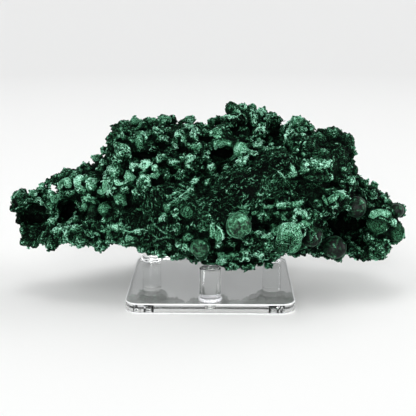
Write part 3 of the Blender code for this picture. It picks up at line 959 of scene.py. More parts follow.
def plate_values(places, plates, margin=0.6):
    """Tone of the flat face that each place lies on, and how surely it lies on one."""
    columns, rows = seen_in_frame(places)
    ahead = frame_axes()[2]
    tone = np.zeros(len(places))
    share = np.zeros(len(places))
    for corners, centre, value, _, _ in plates:
        low, high = corners.min(0) - margin, corners.max(0) + margin
        near = np.flatnonzero((columns > low[0]) & (columns < high[0]) & (rows > low[1])
                              & (rows < high[1]))
        near = near[np.abs((places[near] - centre) @ ahead) < 4 * MM]
        if not len(near):
            continue
        spot = np.stack([columns[near], rows[near]], 1)
        inside = np.full(len(near), np.inf)
        turn = np.sign(np.cross(corners[1] - corners[0], corners[2] - corners[1]))
        for start, end in zip(corners, np.roll(corners, -1, axis=0)):
            edge = (end - start) / np.linalg.norm(end - start)
            inside = np.minimum(inside, turn * np.cross(edge, spot - start))
        sure = np.clip(inside / margin + 1, 0, 1)
        better = sure > share[near]
        share[near[better]] = sure[better]
        tone[near[better]] = value
    return tone, share


def place_balls(tree):
    centres, radii = [], []
    for x, y, size, _ in BALLS.values():
        place, _ = on_surface(tree, x, y)
        radius = size * pixel_size(place)
        centres.append(place + pixel_ray(x, y) * radius * 0.45)
        radii.append(radius)
    return np.array([c[:] for c in centres]), np.array(radii)


def seen_in_frame(places):
    """Pixel column and row of each place."""
    turn = np.array(camera_rotation())
    local = (places - np.array(CAMERA_PLACE)) @ turn
    half = FRAME_SIDE / 2
    column = half + FOCAL_PIXELS * local[:, 0] / -local[:, 2]
    row = half - FOCAL_PIXELS * local[:, 1] / -local[:, 2]
    return column, row


def seat_points(tree, spots):
    """The place on the skin behind each named pixel, with its half sizes in metres."""
    found = []
    for x, y, wide, high, *rest in spots.values():
        place, _ = on_surface(tree, x, y)
        pixel = pixel_size(place)
        found.append((np.array(place[:]), wide * pixel, high * pixel, *rest))
    return found


def push_in(places, hollows):
    """Move skin away from the camera inside each hollow, deepest in its middle."""
    axes = frame_axes()
    shift = np.zeros(len(places))
    for middle, wide, high, deep in hollows:
        local = (places - middle) @ axes.T
        flat = np.hypot(local[:, 0] / wide, local[:, 1] / high)
        near = np.abs(local[:, 2]) < 16 * MM
        shift = np.maximum(shift, np.clip(1.5 * (1 - flat ** 2), 0, 1) * deep * MM * near)
    return places + shift[:, None] * axes[2]


def step_in(places, notches):
    """Move the outline's skin sideways in the frame at each notch."""
    axes = frame_axes()
    for middle, wide, high, right, up in notches:
        local = (places - middle) @ axes.T
        flat = (local[:, 0] / wide) ** 2 + (local[:, 1] / high) ** 2
        near = np.abs(local[:, 2]) < 30 * MM
        share = np.clip(1.6 * (1 - flat), 0, 1) * near
        pixel = pixel_size(middle)
        places = places + share[:, None] * (axes[0] * right + axes[1] * up) * pixel
    return places


def drilled(mesh, tree):
    """The mesh with the holes that go right through it."""
    axes = view_axes()
    lump = bpy.data.objects.new("to_drill", mesh)
    bpy.context.scene.collection.objects.link(lump)
    drills = []
    for x, y, wide, high in PIERCED.values():
        place, _ = on_surface(tree, x, y)
        pixel = pixel_size(place)
        bm = bmesh.new()
        bmesh.ops.create_cone(bm, cap_ends=True, segments=14, radius1=1, radius2=1, depth=2)
        ray = pixel_ray(x, y)
        frame_turn = Matrix((axes[0], axes[1], -ray)).transposed().to_4x4()
        size = Matrix.Diagonal((wide * pixel, high * pixel, 60 * MM, 1))
        bmesh.ops.transform(bm, verts=bm.verts, matrix=Matrix.Translation(place) @ frame_turn @ size)
        shape = bpy.data.meshes.new("drill")
        bm.to_mesh(shape)
        bm.free()
        drill = bpy.data.objects.new("drill", shape)
        bpy.context.scene.collection.objects.link(drill)
        cut = lump.modifiers.new("cut", "BOOLEAN")
        cut.operation, cut.object, cut.solver = "DIFFERENCE", drill, "EXACT"
        drills.append(drill)
    depsgraph = bpy.context.evaluated_depsgraph_get()
    result = bpy.data.meshes.new_from_object(lump.evaluated_get(depsgraph))
    for item in drills + [lump]:
        bpy.data.objects.remove(item)
    return result


def felt_share(places, areas):
    """1 inside a felt area, 0 away from all of them."""
    axes = frame_axes()
    share = np.zeros(len(places))
    for middle, wide, high in areas:
        local = (places - middle) @ axes.T
        reach = np.sqrt((local[:, 0] / wide) ** 2 + (local[:, 1] / high) ** 2
                        + (local[:, 2] / (22 * MM)) ** 2)
        share = np.maximum(share, np.clip((1.15 - reach) / 0.3, 0, 1))
    return share


# ---------------------------------------------------------------- stone: body

def stone_base():
    """The CAD stone's places and triangles, with split corners joined again."""
    bm = bmesh.new()
    bm.from_mesh(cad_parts["malachite"].data)
    bmesh.ops.remove_doubles(bm, verts=bm.verts, dist=0.01 * MM)
    mesh = bpy.data.meshes.new("stone_base")
    bm.to_mesh(mesh)
    bm.free()
    return mesh_arrays(mesh)


def fused(places, faces, voxel):
    """One even skin around overlapping closed shapes."""
    mesh = make_mesh("to_fuse", places, faces)
    lump = bpy.data.objects.new("to_fuse", mesh)
    bpy.context.scene.collection.objects.link(lump)
    remesh = lump.modifiers.new("remesh", "REMESH")
    remesh.mode = "VOXEL"
    remesh.voxel_size = voxel
    depsgraph = bpy.context.evaluated_depsgraph_get()
    skin = bpy.data.meshes.new_from_object(lump.evaluated_get(depsgraph))
    bpy.data.objects.remove(lump)
    return skin


def outer_skin(mesh):
    """Drop the closed skins left around voids inside the stone."""
    bm = bmesh.new()
    bm.from_mesh(mesh)
    bm.verts.ensure_lookup_table()
    seen = np.zeros(len(bm.verts), bool)
    shells = []
    for vert in bm.verts:
        if seen[vert.index]:
            continue
        shell = [vert]
        seen[vert.index] = True
        for member in shell:
            for edge in member.link_edges:
                other = edge.other_vert(member)
                if not seen[other.index]:
                    seen[other.index] = True
                    shell.append(other)
        shells.append(shell)
    outer = max(shells, key=len)
    for shell in shells:
        if shell is not outer:
            bmesh.ops.delete(bm, geom=shell, context="VERTS")
    bm.to_mesh(mesh)
    bm.free()


def above_pegs(places):
    """For each peg: how far each place is from its axis, its radius and the height of the seat."""
    for name in PEGS:
        low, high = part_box(name)
        centre = (low + high) / 2
        away = np.hypot(places[:, 0] - centre.x, places[:, 1] - centre.y)
        yield away, (high.x - low.x) / 2, high.z + SEAT_GAP


def settle_on_pegs(places):
    """Bring the underside above each peg down so that the stone rests on all three."""
    for away, _, seat in above_pegs(places):
        fade = np.clip((SEAT_REACH - away) / (SEAT_REACH - SEAT_FLAT), 0, 1)
        near = fade * fade * (3 - 2 * fade)
        above = places[:, 2] - seat
        share = np.clip(above / SEAT_HEIGHT, 0, 1)
        pressed = above * (SEAT_PRESS + (1 - SEAT_PRESS) * share ** 2)
        under = (above > 0) & (above < SEAT_HEIGHT)
        places[under, 2] -= (near * (above - pressed))[under]
    return places


def keep_off_pegs(places):
    """Lift whatever would reach into a peg so that the stone rests on top of it."""
    for away, radius, seat in above_pegs(places):
        places[(away < radius + PEG_CLEARANCE) & (places[:, 2] < seat), 2] = seat
    return places


class Openness:
    """How much open space surrounds a point, from a blurred grid of the solid stone."""

    def __init__(self, places, faces, pitch, margin=16 * MM):
        self.pitch = pitch
        self.low = places.min(0) - margin
        self.size = np.ceil((places.max(0) + margin - self.low) / pitch).astype(int)
        tree = BVHTree.FromPolygons(places.tolist(), faces.tolist())
        solid = np.zeros(self.size)
        up = Vector((0, 0, 1))
        for i in range(self.size[0]):
            for j in range(self.size[1]):
                x = self.low[0] + (i + 0.5) * pitch
                y = self.low[1] + (j + 0.5) * pitch
                start = Vector((x, y, self.low[2]))
                crossings = []
                while True:
                    hit, _, _, _ = tree.ray_cast(start, up)
                    if hit is None:
                        break
                    crossings.append(hit.z)
                    start = Vector((x, y, hit.z + 0.02 * MM))
                for bottom, top in zip(crossings[::2], crossings[1::2]):
                    first = int((bottom - self.low[2]) / pitch + 0.5)
                    last = int((top - self.low[2]) / pitch + 0.5)
                    solid[i, j, first:last] = 1.0
        self.waves = np.fft.rfftn(solid)
        self.freqs = [np.fft.fftfreq(n) for n in self.size[:2]] + [np.fft.rfftfreq(self.size[2])]

    def blurred(self, radius):
        width = radius / self.pitch
        gains = [np.exp(-2 * (math.pi * width * freq) ** 2) for freq in self.freqs]
        waves = self.waves * gains[0][:, None, None] * gains[1][None, :, None] * gains[2]
        return np.fft.irfftn(waves, s=tuple(self.size), axes=(0, 1, 2))

    def read(self, field, points):
        """Trilinear value of a field at each point."""
        spot = (points - self.low) / self.pitch - 0.5
        spot = np.clip(spot, 0, self.size - 1.001)
        base = spot.astype(int)
        part = spot - base
        value = np.zeros(len(points))
        for corner in range(8):
            step = np.array([corner & 1, corner >> 1 & 1, corner >> 2 & 1])
            weight = np.where(step, part, 1 - part).prod(axis=1)
            at = base + step
            value += weight * field[at[:, 0], at[:, 1], at[:, 2]]
        return value

def cell_field(points, size, seed):
    """Jittered cells: gap to the cell border (0..1), place in the cell, three numbers of its own."""
    scaled = points / size
    base = np.floor(scaled).astype(np.int64)
    first = np.full(len(points), 9.0)
    second = np.full(len(points), 9.0)
    offset = np.zeros_like(points)
    owner = np.zeros_like(base)
    for step in np.ndindex(3, 3, 3):
        cell = base + (np.array(step) - 1)
        jitter = np.stack([lattice_value(cell, seed + 7 * k) for k in range(3)], 1)
        away = scaled - (cell + 0.1 + 0.8 * jitter)
        gap = np.einsum("ij,ij->i", away, away)
        closer = gap < first
        second = np.where(closer, first, np.minimum(second, gap))
        first = np.where(closer, gap, first)
        offset[closer] = away[closer]
        owner[closer] = cell[closer]
    border = np.sqrt(second) - np.sqrt(first)
    own = np.stack([lattice_value(owner, seed + 101 + 7 * k) for k in range(3)], 1)
    return border, offset, own


def crumple(points, normals, size, seed):
    """Height of a broken surface of tilted chips with clefts between them, about -1 to 1."""
    border, offset, own = cell_field(points, size, seed)
    tilt = np.einsum("ij,ij->i", offset, unit(own * 2 - 1))
    cleft = np.clip(1 - border / 0.28, 0, 1) ** 1.5
    return (own[:, 0] - 0.5) * 0.9 + tilt * 1.3 - cleft * 0.9


def lace(points, size, seed):
    """Height of thin raised walls around pits, about -0.5 to 1."""
    border, _, own = cell_field(points, size, seed)
    wall = np.clip(1 - border / 0.3, 0, 1)
    return wall * (0.9 + 0.5 * own[:, 0]) - 0.45 - 0.3 * own[:, 1] * (1 - wall)


def near_value(points, ovals, fall=0.3):
    """Tone and silk that each point takes from the lumps it lies on, and how strongly."""
    tone = np.zeros(len(points))
    silk = np.zeros(len(points))
    weight = np.zeros(len(points))
    order = np.argsort(points[:, 0])
    across = points[order, 0]
    for index in range(len(ovals.centres)):
        reach = ovals.halves[index].max() * (1 + fall)
        middle = ovals.centres[index]
        start, end = np.searchsorted(across, (middle[0] - reach, middle[0] + reach))
        close = order[start:end]
        close = close[np.abs(points[close] - middle).max(axis=1) < reach]
        if not len(close):
            continue
        share = np.clip((1 + fall - ovals.depth_in(points[close], index)) / fall, 0, 1)
        tone[close] += share * ovals.tone[index]
        silk[close] += share * ovals.silk[index]
        weight[close] += share
    safe = np.maximum(weight, 1e-6)
    return tone / safe, silk / safe, np.clip(weight, 0, 1)


def chip_sizes(points, felt, rng):
    """Half sizes and proud height of the thin chips; smaller ones in the felt."""
    scale = (1 - 0.5 * felt_share(points, felt))[:, None]
    longest = rng.uniform(*CHIP_LENGTH, (len(points), 1)) * scale
    halves = np.hstack([longest, longest * rng.uniform(0.55, 1.0, (len(points), 1)),
                        rng.uniform(*CHIP_THICKNESS, (len(points), 1))])
    return halves, rng.uniform(*CHIP_PROUD, len(points)) * scale[:, 0]


def build_skin(tree, lumps, balls, hollows, notches, felt):
    """The bare shape of the stone: core, nodules, lumps, then beads and rims over all."""
    rng = np.random.default_rng(BODY_SEED)
    places, faces = stone_base()
    inset = CORE_INSET - (CORE_INSET - FELT_INSET) * felt_share(places, felt)
    core = places - vertex_normals(places, faces) * inset[:, None]
    points, normals = sample_surface(places, faces, NODULE_TRIES, rng)
    kept = thin_out(points, NODULE_SPACING)
    points, normals = points[kept], normals[kept]
    _, _, owned = near_value(points, lumps, 0.1)
    keep = (owned < 0.5) | (rng.random(len(points)) < 0.15)
    keep &= felt_share(points, felt) < 0.4
    points, normals = points[keep], normals[keep]
    radii = rng.uniform(*NODULE_RADIUS, len(points))
    halves = radii[:, None] * rng.uniform(0.75, 1.15, (len(points), 3))
    proud = rng.uniform(*NODULE_PROUD, len(points)) - felt_share(points, felt) * 0.8 * MM
    nodules = shards(points, normals, halves, proud, 0.2, rng)
    solid_balls = many_spheres(balls[0], balls[1] * 0.97, 3)
    flat = is_plate(lumps.tone, lumps.silk)
    smooth = (lumps.silk >= ROUND_SILK) & ~flat
    folded = ~smooth & ~flat & (lumps.silk >= FOLDED_SILK)
    crumbly = lumps.silk < FOLDED_SILK
    parts = joined((core, faces), nodules, solid_balls[:2], lumps.mesh(3, 0.0, smooth),
                   lumps.mesh(0, 0.2, flat), lumps.mesh(0, 0.14, folded),
                   lumps.mesh(1, 0.2, crumbly))
    rough = drilled(fused(*parts, ROUGH_VOXEL), tree)
    outer_skin(rough)
    places, faces = mesh_arrays(rough)
    places = push_in(step_in(places, notches), hollows)
    bare = BVHTree.FromPolygons(places.tolist(), faces.tolist())
    rims, plates = place_rims(bare), place_plates(bare)
    points, normals = sample_surface(places, faces, CHIP_TRIES, rng)
    _, silk, _ = near_value(points, lumps)
    calm = np.maximum(ball_nearness(points, *balls), plate_values(points, plates)[1])
    keep = (calm < 0.2) & (rng.random(len(points)) > silk * 2.0)
    points, normals = points[keep], normals[keep]
    kept = thin_out(points, CHIP_SPACING)
    points, normals = points[kept], normals[kept]
    chips = shards(points, normals, *chip_sizes(points, felt, rng), 0.22, rng)
    blocks = [plate[3:] for plate in plates]
    skin = fused(*joined((places, faces), chips, rims.mesh(1), *blocks), FINE_VOXEL)
    outer_skin(skin)
    places, faces = mesh_arrays(skin)
    warp = np.stack([soft_noise(places, 3.2 * MM, 81 + k) for k in range(3)], 1)
    still = np.maximum(near_value(places, lumps)[1], ball_nearness(places, *balls))
    still = np.maximum(still, plate_values(places, plates)[1])
    places = places + warp * (0.75 * MM * (1 - still))[:, None]
    return places, faces, rims, plates


def around(faces, count, values):
    """Average of the values at each vertex's neighbours."""
    start = faces.ravel()
    ends = (np.roll(faces, -1, axis=1).ravel(), np.roll(faces, 1, axis=1).ravel())
    total = np.zeros((count, values.shape[1]))
    number = np.zeros(count)
    for end in ends:
        for k in range(values.shape[1]):
            total[:, k] += np.bincount(start, values[end, k], count)
        number += np.bincount(start, minlength=count)
    return total / np.maximum(number, 1)[:, None]


def edge_sharpness(places, faces, normals):
    """0.5 on a flat, towards 1 on a raised edge and 0 in a groove."""
    bend = np.einsum("ij,ij->i", places - around(faces, len(places), places), normals)
    bend = 0.5 * bend + 0.5 * around(faces, len(places), bend[:, None])[:, 0]
    return np.clip(0.5 + bend / (0.75 * FINE_VOXEL), 0, 1)


def ball_nearness(places, centres, radii):
    """1 on a silky ball's surface, 0 away from it."""
    near = np.zeros(len(places))
    for centre, radius in zip(centres, radii):
        gap = np.abs(np.linalg.norm(places - centre, axis=1) - radius)
        near = np.maximum(near, np.clip(1.6 - gap / (0.8 * MM), 0, 1))
    return near


def add_section(name, places, faces, values, low, high, material):
    """The part of the skin between two planes across its length.

    Each cut is filled by triangle_fill, which leaves malachite_body_1's mostly open.
    """
    mesh = make_mesh(name, places, faces)
    for key, numbers in values.items():
        set_values(mesh, key, numbers)
    bm = bmesh.new()
    bm.from_mesh(mesh)
    for where, side in ((low, -1.0), (high, 1.0)):
        if where is None:
            continue
        everything = bm.verts[:] + bm.edges[:] + bm.faces[:]
        cut = bmesh.ops.bisect_plane(bm, geom=everything, plane_co=(where, 0, 0),
                                     plane_no=(side, 0, 0), clear_outer=True)
        rim = [item for item in cut["geom_cut"] if isinstance(item, bmesh.types.BMEdge)]
        lids = bmesh.ops.triangle_fill(bm, use_beauty=True, edges=rim, normal=(side, 0, 0))
        for item in lids["geom"]:
            if isinstance(item, bmesh.types.BMFace):
                item.smooth = False
    bmesh.ops.triangulate(bm, faces=[face for face in bm.faces if len(face.verts) > 3])
    bm.to_mesh(mesh)
    bm.free()
    return add_piece(name, mesh, material)


# ---------------------------------------------------------------- stone: crust pieces

def tangents(normals):
    helper = np.where(np.abs(normals[:, 2:3]) < 0.9, [[0, 0, 1.0]], [[1.0, 0, 0]])
    across = unit(np.cross(normals, helper))
    return across, np.cross(normals, across)


SCALE_CORNERS = 6


def scales(points, normals, sizes, rng):
    """Thin folded scales that stand out of the crust, pale along their edges, partly as painted
    highlight.
    """
    count = len(points)
    lean = rng.uniform(0.3, 1.1, (count, 1))
    facing = unit(normals + unit(rng.normal(0, 1, (count, 3))) * lean)
    across, along = tangents(facing)
    step = 2 * math.pi / SCALE_CORNERS
    angle = np.arange(SCALE_CORNERS) * step + rng.uniform(-0.3, 0.3, (count, SCALE_CORNERS)) * step
    reach = sizes[:, None] * rng.uniform(0.55, 1.15, (count, SCALE_CORNERS))
    ring = ((np.cos(angle) * reach)[:, :, None] * across[:, None]
            + (0.8 * np.sin(angle) * reach)[:, :, None] * along[:, None])
    bend = rng.uniform(-0.3, 0.3, (count, SCALE_CORNERS)) * sizes[:, None]
    ring = ring + bend[:, :, None] * facing[:, None]
    ring = ring + (points + normals * sizes[:, None] * 0.35)[:, None]
    peak = ring.mean(1, keepdims=True) + (facing * sizes[:, None] * 0.25)[:, None]
    top = np.concatenate([ring, peak], 1)
    under = top - facing[:, None] * SCALE_THICKNESS
    places = np.concatenate([top, under], 1).reshape(-1, 3)
    here = np.arange(SCALE_CORNERS)
    after = (here + 1) % SCALE_CORNERS
    base = SCALE_CORNERS + 1
    middle = np.full(SCALE_CORNERS, SCALE_CORNERS)
    faces = np.vstack([
        np.stack([here, after, middle], 1),
        np.stack([base + after, base + here, base + middle], 1),
        np.stack([here, base + here, after], 1),
        np.stack([after, base + here, base + after], 1),
    ])
    faces = repeated(faces, count, 2 * base)
    # the rim corners get a high edge value and the middle a lower one: pale edges, partly painted
    # highlight
    tip = np.tile(np.append(np.full(SCALE_CORNERS, 0.9), 0.4), 2 * count)
    return places, faces, tip, np.repeat(np.arange(count), 2 * base)


def paths_on(tree, starts, steps, stride, curl, rng):
    """Winding paths that stay on the skin: points and normals, one row for each path."""
    count = len(starts)
    heading = unit(rng.normal(0, 1, (count, 3)))
    here = starts.copy()
    spots = np.empty((count, steps, 3))
    facing = np.empty((count, steps, 3))
    for step in range(steps):
        for index in range(count):
            near, normal, _, _ = tree.find_nearest(Vector(here[index]))
            spots[index, step] = near
            facing[index, step] = normal
        flat = facing[:, step]
        heading = heading + rng.normal(0, curl, (count, 3))
        heading = unit(heading - flat * np.einsum("ij,ij->i", heading, flat)[:, None])
        here = spots[:, step] + heading * stride
    return spots, facing


def threads(spots, facing, radii, lift):
    """Three-sided tubes along paths, thin at both ends; lift is how far they stand off the skin."""
    count, steps, _ = spots.shape
    along = unit(np.gradient(spots, axis=1).reshape(-1, 3)).reshape(spots.shape)
    side = unit(np.cross(along, facing).reshape(-1, 3)).reshape(spots.shape)
    up = unit(np.cross(side, along).reshape(-1, 3)).reshape(spots.shape)
    taper = np.sqrt(np.clip(np.sin(np.linspace(0.12, math.pi - 0.12, steps)), 0.05, 1))
    width = (radii[:, None] * taper)[:, :, None]
    middle = spots + up * (lift * radii[:, None] * taper)[:, :, None]
    corners = [middle + side * width - up * 0.5 * width, middle + up * width,
               middle - side * width - up * 0.5 * width]
    places = np.stack(corners, 2).reshape(-1, 3)
    ring = np.arange(3)
    after = (ring + 1) % 3
    faces = []
    for step in range(steps - 1):
        low, high = 3 * step, 3 * step + 3
        faces.append(np.stack([low + ring, low + after, high + ring], 1))
        faces.append(np.stack([low + after, high + after, high + ring], 1))
    last = 3 * (steps - 1)
    faces.append(np.array([[0, 2, 1], [last, last + 1, last + 2]]))
    return places, repeated(np.vstack(faces), count, 3 * steps), np.repeat(np.arange(count), 3 * steps)


def cut_block(bm, corners, rim):
    """A hull round the corners with its flat faces joined and a narrow border inside each."""
    verts = [bm.verts.new(corner) for corner in corners]
    made = bmesh.ops.convex_hull(bm, input=verts, use_existing_faces=False)
    loose = [item for item in made["geom_interior"] + made["geom_unused"]
             if isinstance(item, bmesh.types.BMVert)]
    bmesh.ops.delete(bm, geom=loose, context="VERTS")
    faces = list({face for vert in verts if vert.is_valid for face in vert.link_faces})
    edges = list({edge for face in faces for edge in face.edges})
    verts = [vert for vert in verts if vert.is_valid]
    bmesh.ops.dissolve_limit(bm, angle_limit=BLOCK_FLATNESS, verts=verts, edges=edges)
    faces = list({face for vert in verts if vert.is_valid for face in vert.link_faces})
    bmesh.ops.inset_individual(bm, faces=faces, thickness=rim)
    return faces


def block_corners(centres, halves, axes, rng):
    """Corners of a block round each lump's middle."""
    shapes = []
    for centre, half, turn in zip(centres, halves, random_turns(len(centres), rng)):
        spread = unit(rng.normal(0, 1, (rng.integers(10, 15), 3))) * (1.2, 1.1, 0.75)
        shapes.append(centre + (spread @ turn) * half @ axes)
    return shapes


def blocks(shapes, tones, painted_top_lights, rng):
    """Faceted blocks: places, triangles, edge value, tone (with painted light and shade: lighter at the
    top, darker at the foot) and outward direction.
    """
    bm = bmesh.new()
    places, triangles, values = [], [], []
    start = 0
    for corners, value, fade in zip(shapes, tones, painted_top_lights):
        bm.clear()
        faces = cut_block(bm, corners, BLOCK_RIM)
        shade = {vert: value for vert in bm.verts}
        for face in faces:
            step = rng.uniform(-BLOCK_SHADE, BLOCK_SHADE)
            for vert in face.verts:
                shade[vert] = value + step
        inner = {vert for face in faces for vert in face.verts}
        bmesh.ops.triangulate(bm, faces=bm.faces[:])
        bm.verts.index_update()
        middle = corners.mean(0)
        half = np.ptp(corners[:, 2]) / 2
        for vert in bm.verts:
            places.append(vert.co[:])
            # painted light and shade: the tone is lighter towards the top and darker towards the foot,
            # by the given amount
            height = (vert.co.z - middle[2]) / half
            # borders get a higher edge value than faces: pale borders, partly painted highlight
            tip = BLOCK_FACE_TIP if vert in inner else BLOCK_EDGE_TIP
            values.append((tip, shade[vert] + fade * height, *unit(np.array(vert.co)[None] - middle)[0]))
        triangles += [[start + vert.index for vert in face.verts] for face in bm.faces]
        start += len(bm.verts)
    bm.free()
    values = np.array(values)
    return np.array(places), np.array(triangles), values[:, 0], values[:, 1], values[:, 2:]


def boulder(tree):
    """The pale block near the front, from its outline and the corners inside it."""
    axes = frame_axes()
    corners = []
    for (x, y), proud in BOULDER:
        place, _ = on_surface(tree, *BOULDER_SEAT)
        spot = pixel_point(x, y, place[:])
        corners.append(spot - axes[2] * proud * MM)
    return np.array(corners)


def rim_spots(tree, rng):
    """Starts for small bright curls scattered along the brighter rims, with their tones."""
    spots, tones = [], []
    for tone, *points in RIMS.values():
        if tone < 0.5:
            continue
        for (x0, y0), (x1, y1) in zip(points, points[1:]):
            count = max(1, round(math.hypot(x1 - x0, y1 - y0) * RIM_THREADS))
            for part in rng.random(count):
                x = x0 + (x1 - x0) * part + rng.normal(0, 0.8)
                y = y0 + (y1 - y0) * part + rng.normal(0, 0.8)
                spots.append(on_surface(tree, x, y)[0][:])
                tones.append(tone)
    return np.array(spots), np.array(tones)


def rim_paths(tree):
    """Each named rim's tone, and its fine paths on the skin, broken where the depth leaps."""
    paths = []
    for tone, *points in RIMS.values():
        spots, facing = [], []
        for (x0, y0), (x1, y1) in zip(points, points[1:]):
            steps = max(2, round(math.hypot(x1 - x0, y1 - y0) / 1.2))
            for part in np.arange(steps) / steps:
                x, y = x0 + (x1 - x0) * part, y0 + (y1 - y0) * part
                place, normal = on_surface(tree, x, y)
                spots.append(place[:])
                facing.append(normal[:])
        spots, facing = np.array(spots), np.array(facing)
        leaps = np.flatnonzero(np.linalg.norm(np.diff(spots, axis=0), axis=1) > RIM_LEAP) + 1
        runs = zip(np.split(spots, leaps), np.split(facing, leaps))
        paths.append((tone, [(run[None], lean[None]) for run, lean in runs if len(run) > 1]))
    return paths


# ---------------------------------------------------------------- materials

DEEP = (0.0004, 0.0011, 0.0007, 1.0)
DARK = (0.0049, 0.0197, 0.0098, 1.0)
GREEN = (0.028, 0.115, 0.055, 1)
PALE = (0.15, 0.42, 0.26, 1)
MINT = (0.46, 0.84, 0.66, 1)
GREENS = [(0.0, DEEP), (0.2, DARK), (0.45, GREEN), (0.72, PALE), (1.0, MINT)]
BUMP_DEPTH = 0.4 * MM


class Nodes:
    """Short names for building a node tree."""

    def __init__(self, name):
        self.material = bpy.data.materials.new(name)
        self.material.use_nodes = True
        self.tree = self.material.node_tree
        self.shader = self.tree.nodes["Principled BSDF"]

    def add(self, kind, **settings):
        node = self.tree.nodes.new(kind)
        for key, value in settings.items():
            setattr(node, key, value)
        return node

    def link(self, source, target):
        self.tree.links.new(source, target)

    def fill(self, socket, value):
        if isinstance(value, bpy.types.NodeSocket):
            self.link(value, socket)
        else:
            socket.default_value = value

    def math(self, operation, *values, clamp=False):
        node = self.add("ShaderNodeMath", operation=operation, use_clamp=clamp)
        for socket, value in zip(node.inputs, values):
            self.fill(socket, value)
        return node.outputs[0]

    def about(self, value, middle, gain):
        """How far a value is from its middle, times a gain."""
        return self.math("MULTIPLY", self.math("SUBTRACT", value, middle), gain)

    def total(self, first, *rest):
        """The sum of several values."""
        for value in rest:
            first = self.math("ADD", first, value)
        return first

    def surface(self, **inputs):
        """Set the shader's inputs, named in lower case with _ for a space."""
        names = {socket.name.lower().replace(" ", "_"): socket for socket in self.shader.inputs}
        for name, value in inputs.items():
            self.fill(names[name], value)

    def bump(self, strength, height):
        """Relief in the shading only."""
        node = self.add("ShaderNodeBump")
        node.inputs["Strength"].default_value = strength
        node.inputs["Distance"].default_value = BUMP_DEPTH
        self.link(height, node.inputs["Height"])
        self.link(node.outputs["Normal"], self.shader.inputs["Normal"])

    def object_place(self):
        return self.add("ShaderNodeTexCoord").outputs["Object"]

    def attribute(self, name):
        return self.add("ShaderNodeAttribute", attribute_name=name).outputs["Fac"]

    def noise(self, where, scale, detail=3.0, rough=0.6):
        node = self.add("ShaderNodeTexNoise")
        self.link(where, node.inputs["Vector"])
        node.inputs["Scale"].default_value = scale
        node.inputs["Detail"].default_value = detail
        node.inputs["Roughness"].default_value = rough
        return node

    def vein(self, where, scale, sharp):
        """Thin winding lines: 1 on a line, 0 between."""
        noise = self.noise(where, scale, 1.5, 0.5).outputs["Fac"]
        away = self.math("ABSOLUTE", self.math("SUBTRACT", noise, 0.5))
        return self.math("SUBTRACT", 1.0, self.math("MULTIPLY", away, sharp), clamp=True)

    def ramp(self, value, stops):
        node = self.add("ShaderNodeValToRGB")
        self.link(value, node.inputs["Fac"])
        elements = node.color_ramp.elements
        while len(elements) < len(stops):
            elements.new(0.5)
        for element, (place, colour) in zip(elements, stops):
            element.position = place
            element.color = colour
        return node.outputs["Color"]

def crust_material():
    """Velvety green crust: mint on raised edges, partly their own paleness and partly painted highlight;
    near black in grooves, clefts and caves as painted shade.
    """
    n = Nodes("malachite_crust")
    where = n.object_place()
    tip, openness, tone, silk = map(n.attribute, ("tip", "open", "tone", "silk"))
    grain = n.noise(where, 620.0, 3.0, 0.75).outputs["Fac"]
    cloud = n.noise(where, 130.0, 3.0, 0.6).outputs["Fac"]
    wide_vein = n.vein(where, 430.0, 9.0)
    fine_vein = n.vein(where, 900.0, 8.0)
    rough = n.math("SUBTRACT", 1.0, n.math("MULTIPLY", silk, 0.65))
    speck = n.total(n.about(grain, 0.55, 0.9), n.about(wide_vein, 0.3, 0.2),
                    n.about(fine_vein, 0.28, 1.0))
    speck = n.math("MULTIPLY", speck, rough)
    # the edge value adds painted highlight on raised edges and painted shade in grooves
    level = n.total(0.075, n.math("MULTIPLY", tone, 0.60), n.about(tip, 0.5, 0.85), speck,
                    n.about(cloud, 0.5, 0.5))
    # painted shade: the colour is darkened where the stone is closed in
    level = n.math("MULTIPLY", level, openness, clamp=True)
    n.surface(base_color=n.ramp(level, GREENS), roughness=0.6, specular_ior_level=0.03)
    n.bump(0.7, speck)
    return n.material


def silky_material():
    """Smooth balls: mid green with fine silk-like fibres and growth bands, painted highlights near the
    edge and on the upper side, and painted shade where closed in.
    """
    n = Nodes("malachite_silk")
    where = n.object_place()
    tone, openness, streak, band = map(n.attribute, ("tone", "open", "streak", "band"))
    cloud = n.noise(where, 170.0, 4.0).outputs["Fac"]
    grain = n.noise(where, 560.0, 3.0, 0.75).outputs["Fac"]
    level = n.total(0.13, n.math("MULTIPLY", tone, 0.5), n.about(cloud, 0.5, 1.0),
                    n.about(grain, 0.5, 1.7), n.math("MULTIPLY", streak, 0.22),
                    n.math("MULTIPLY", band, 0.35))
    # painted shade: the colour is darkened where the ball is closed in
    level = n.math("MULTIPLY", level, openness, clamp=True)
    n.surface(base_color=n.ramp(level, GREENS), roughness=0.45, specular_ior_level=0.15,
              sheen_weight=0.1, sheen_roughness=0.25, sheen_tint=(0.6, 1.0, 0.8, 1))
    n.bump(0.6, n.math("ADD", grain, cloud))
    return n.material


def acrylic_material():
    """Clear acrylic whose roughness varies a little with a soft noise."""
    n = Nodes("clear_acrylic")
    scuff = n.noise(n.object_place(), 90.0, 5.0).outputs["Fac"]
    haze = n.math("MULTIPLY", n.math("SUBTRACT", scuff, 0.52, clamp=True), 0.35)
    n.surface(base_color=(0.985, 0.995, 0.99, 1), transmission_weight=1.0, ior=1.49, roughness=haze)
    return n.material


def peg_foot_highlight_material():
    """Milky, mostly opaque white for the painted highlight ring, with a finely varied roughness."""
    n = Nodes("clear_cement")
    rough_spots = n.noise(n.object_place(), 700.0, 3.0).outputs["Fac"]
    n.surface(base_color=(0.95, 0.95, 0.98, 1), transmission_weight=0.3, ior=1.45,
              roughness=n.math("MULTIPLY", rough_spots, 0.5))
    return n.material


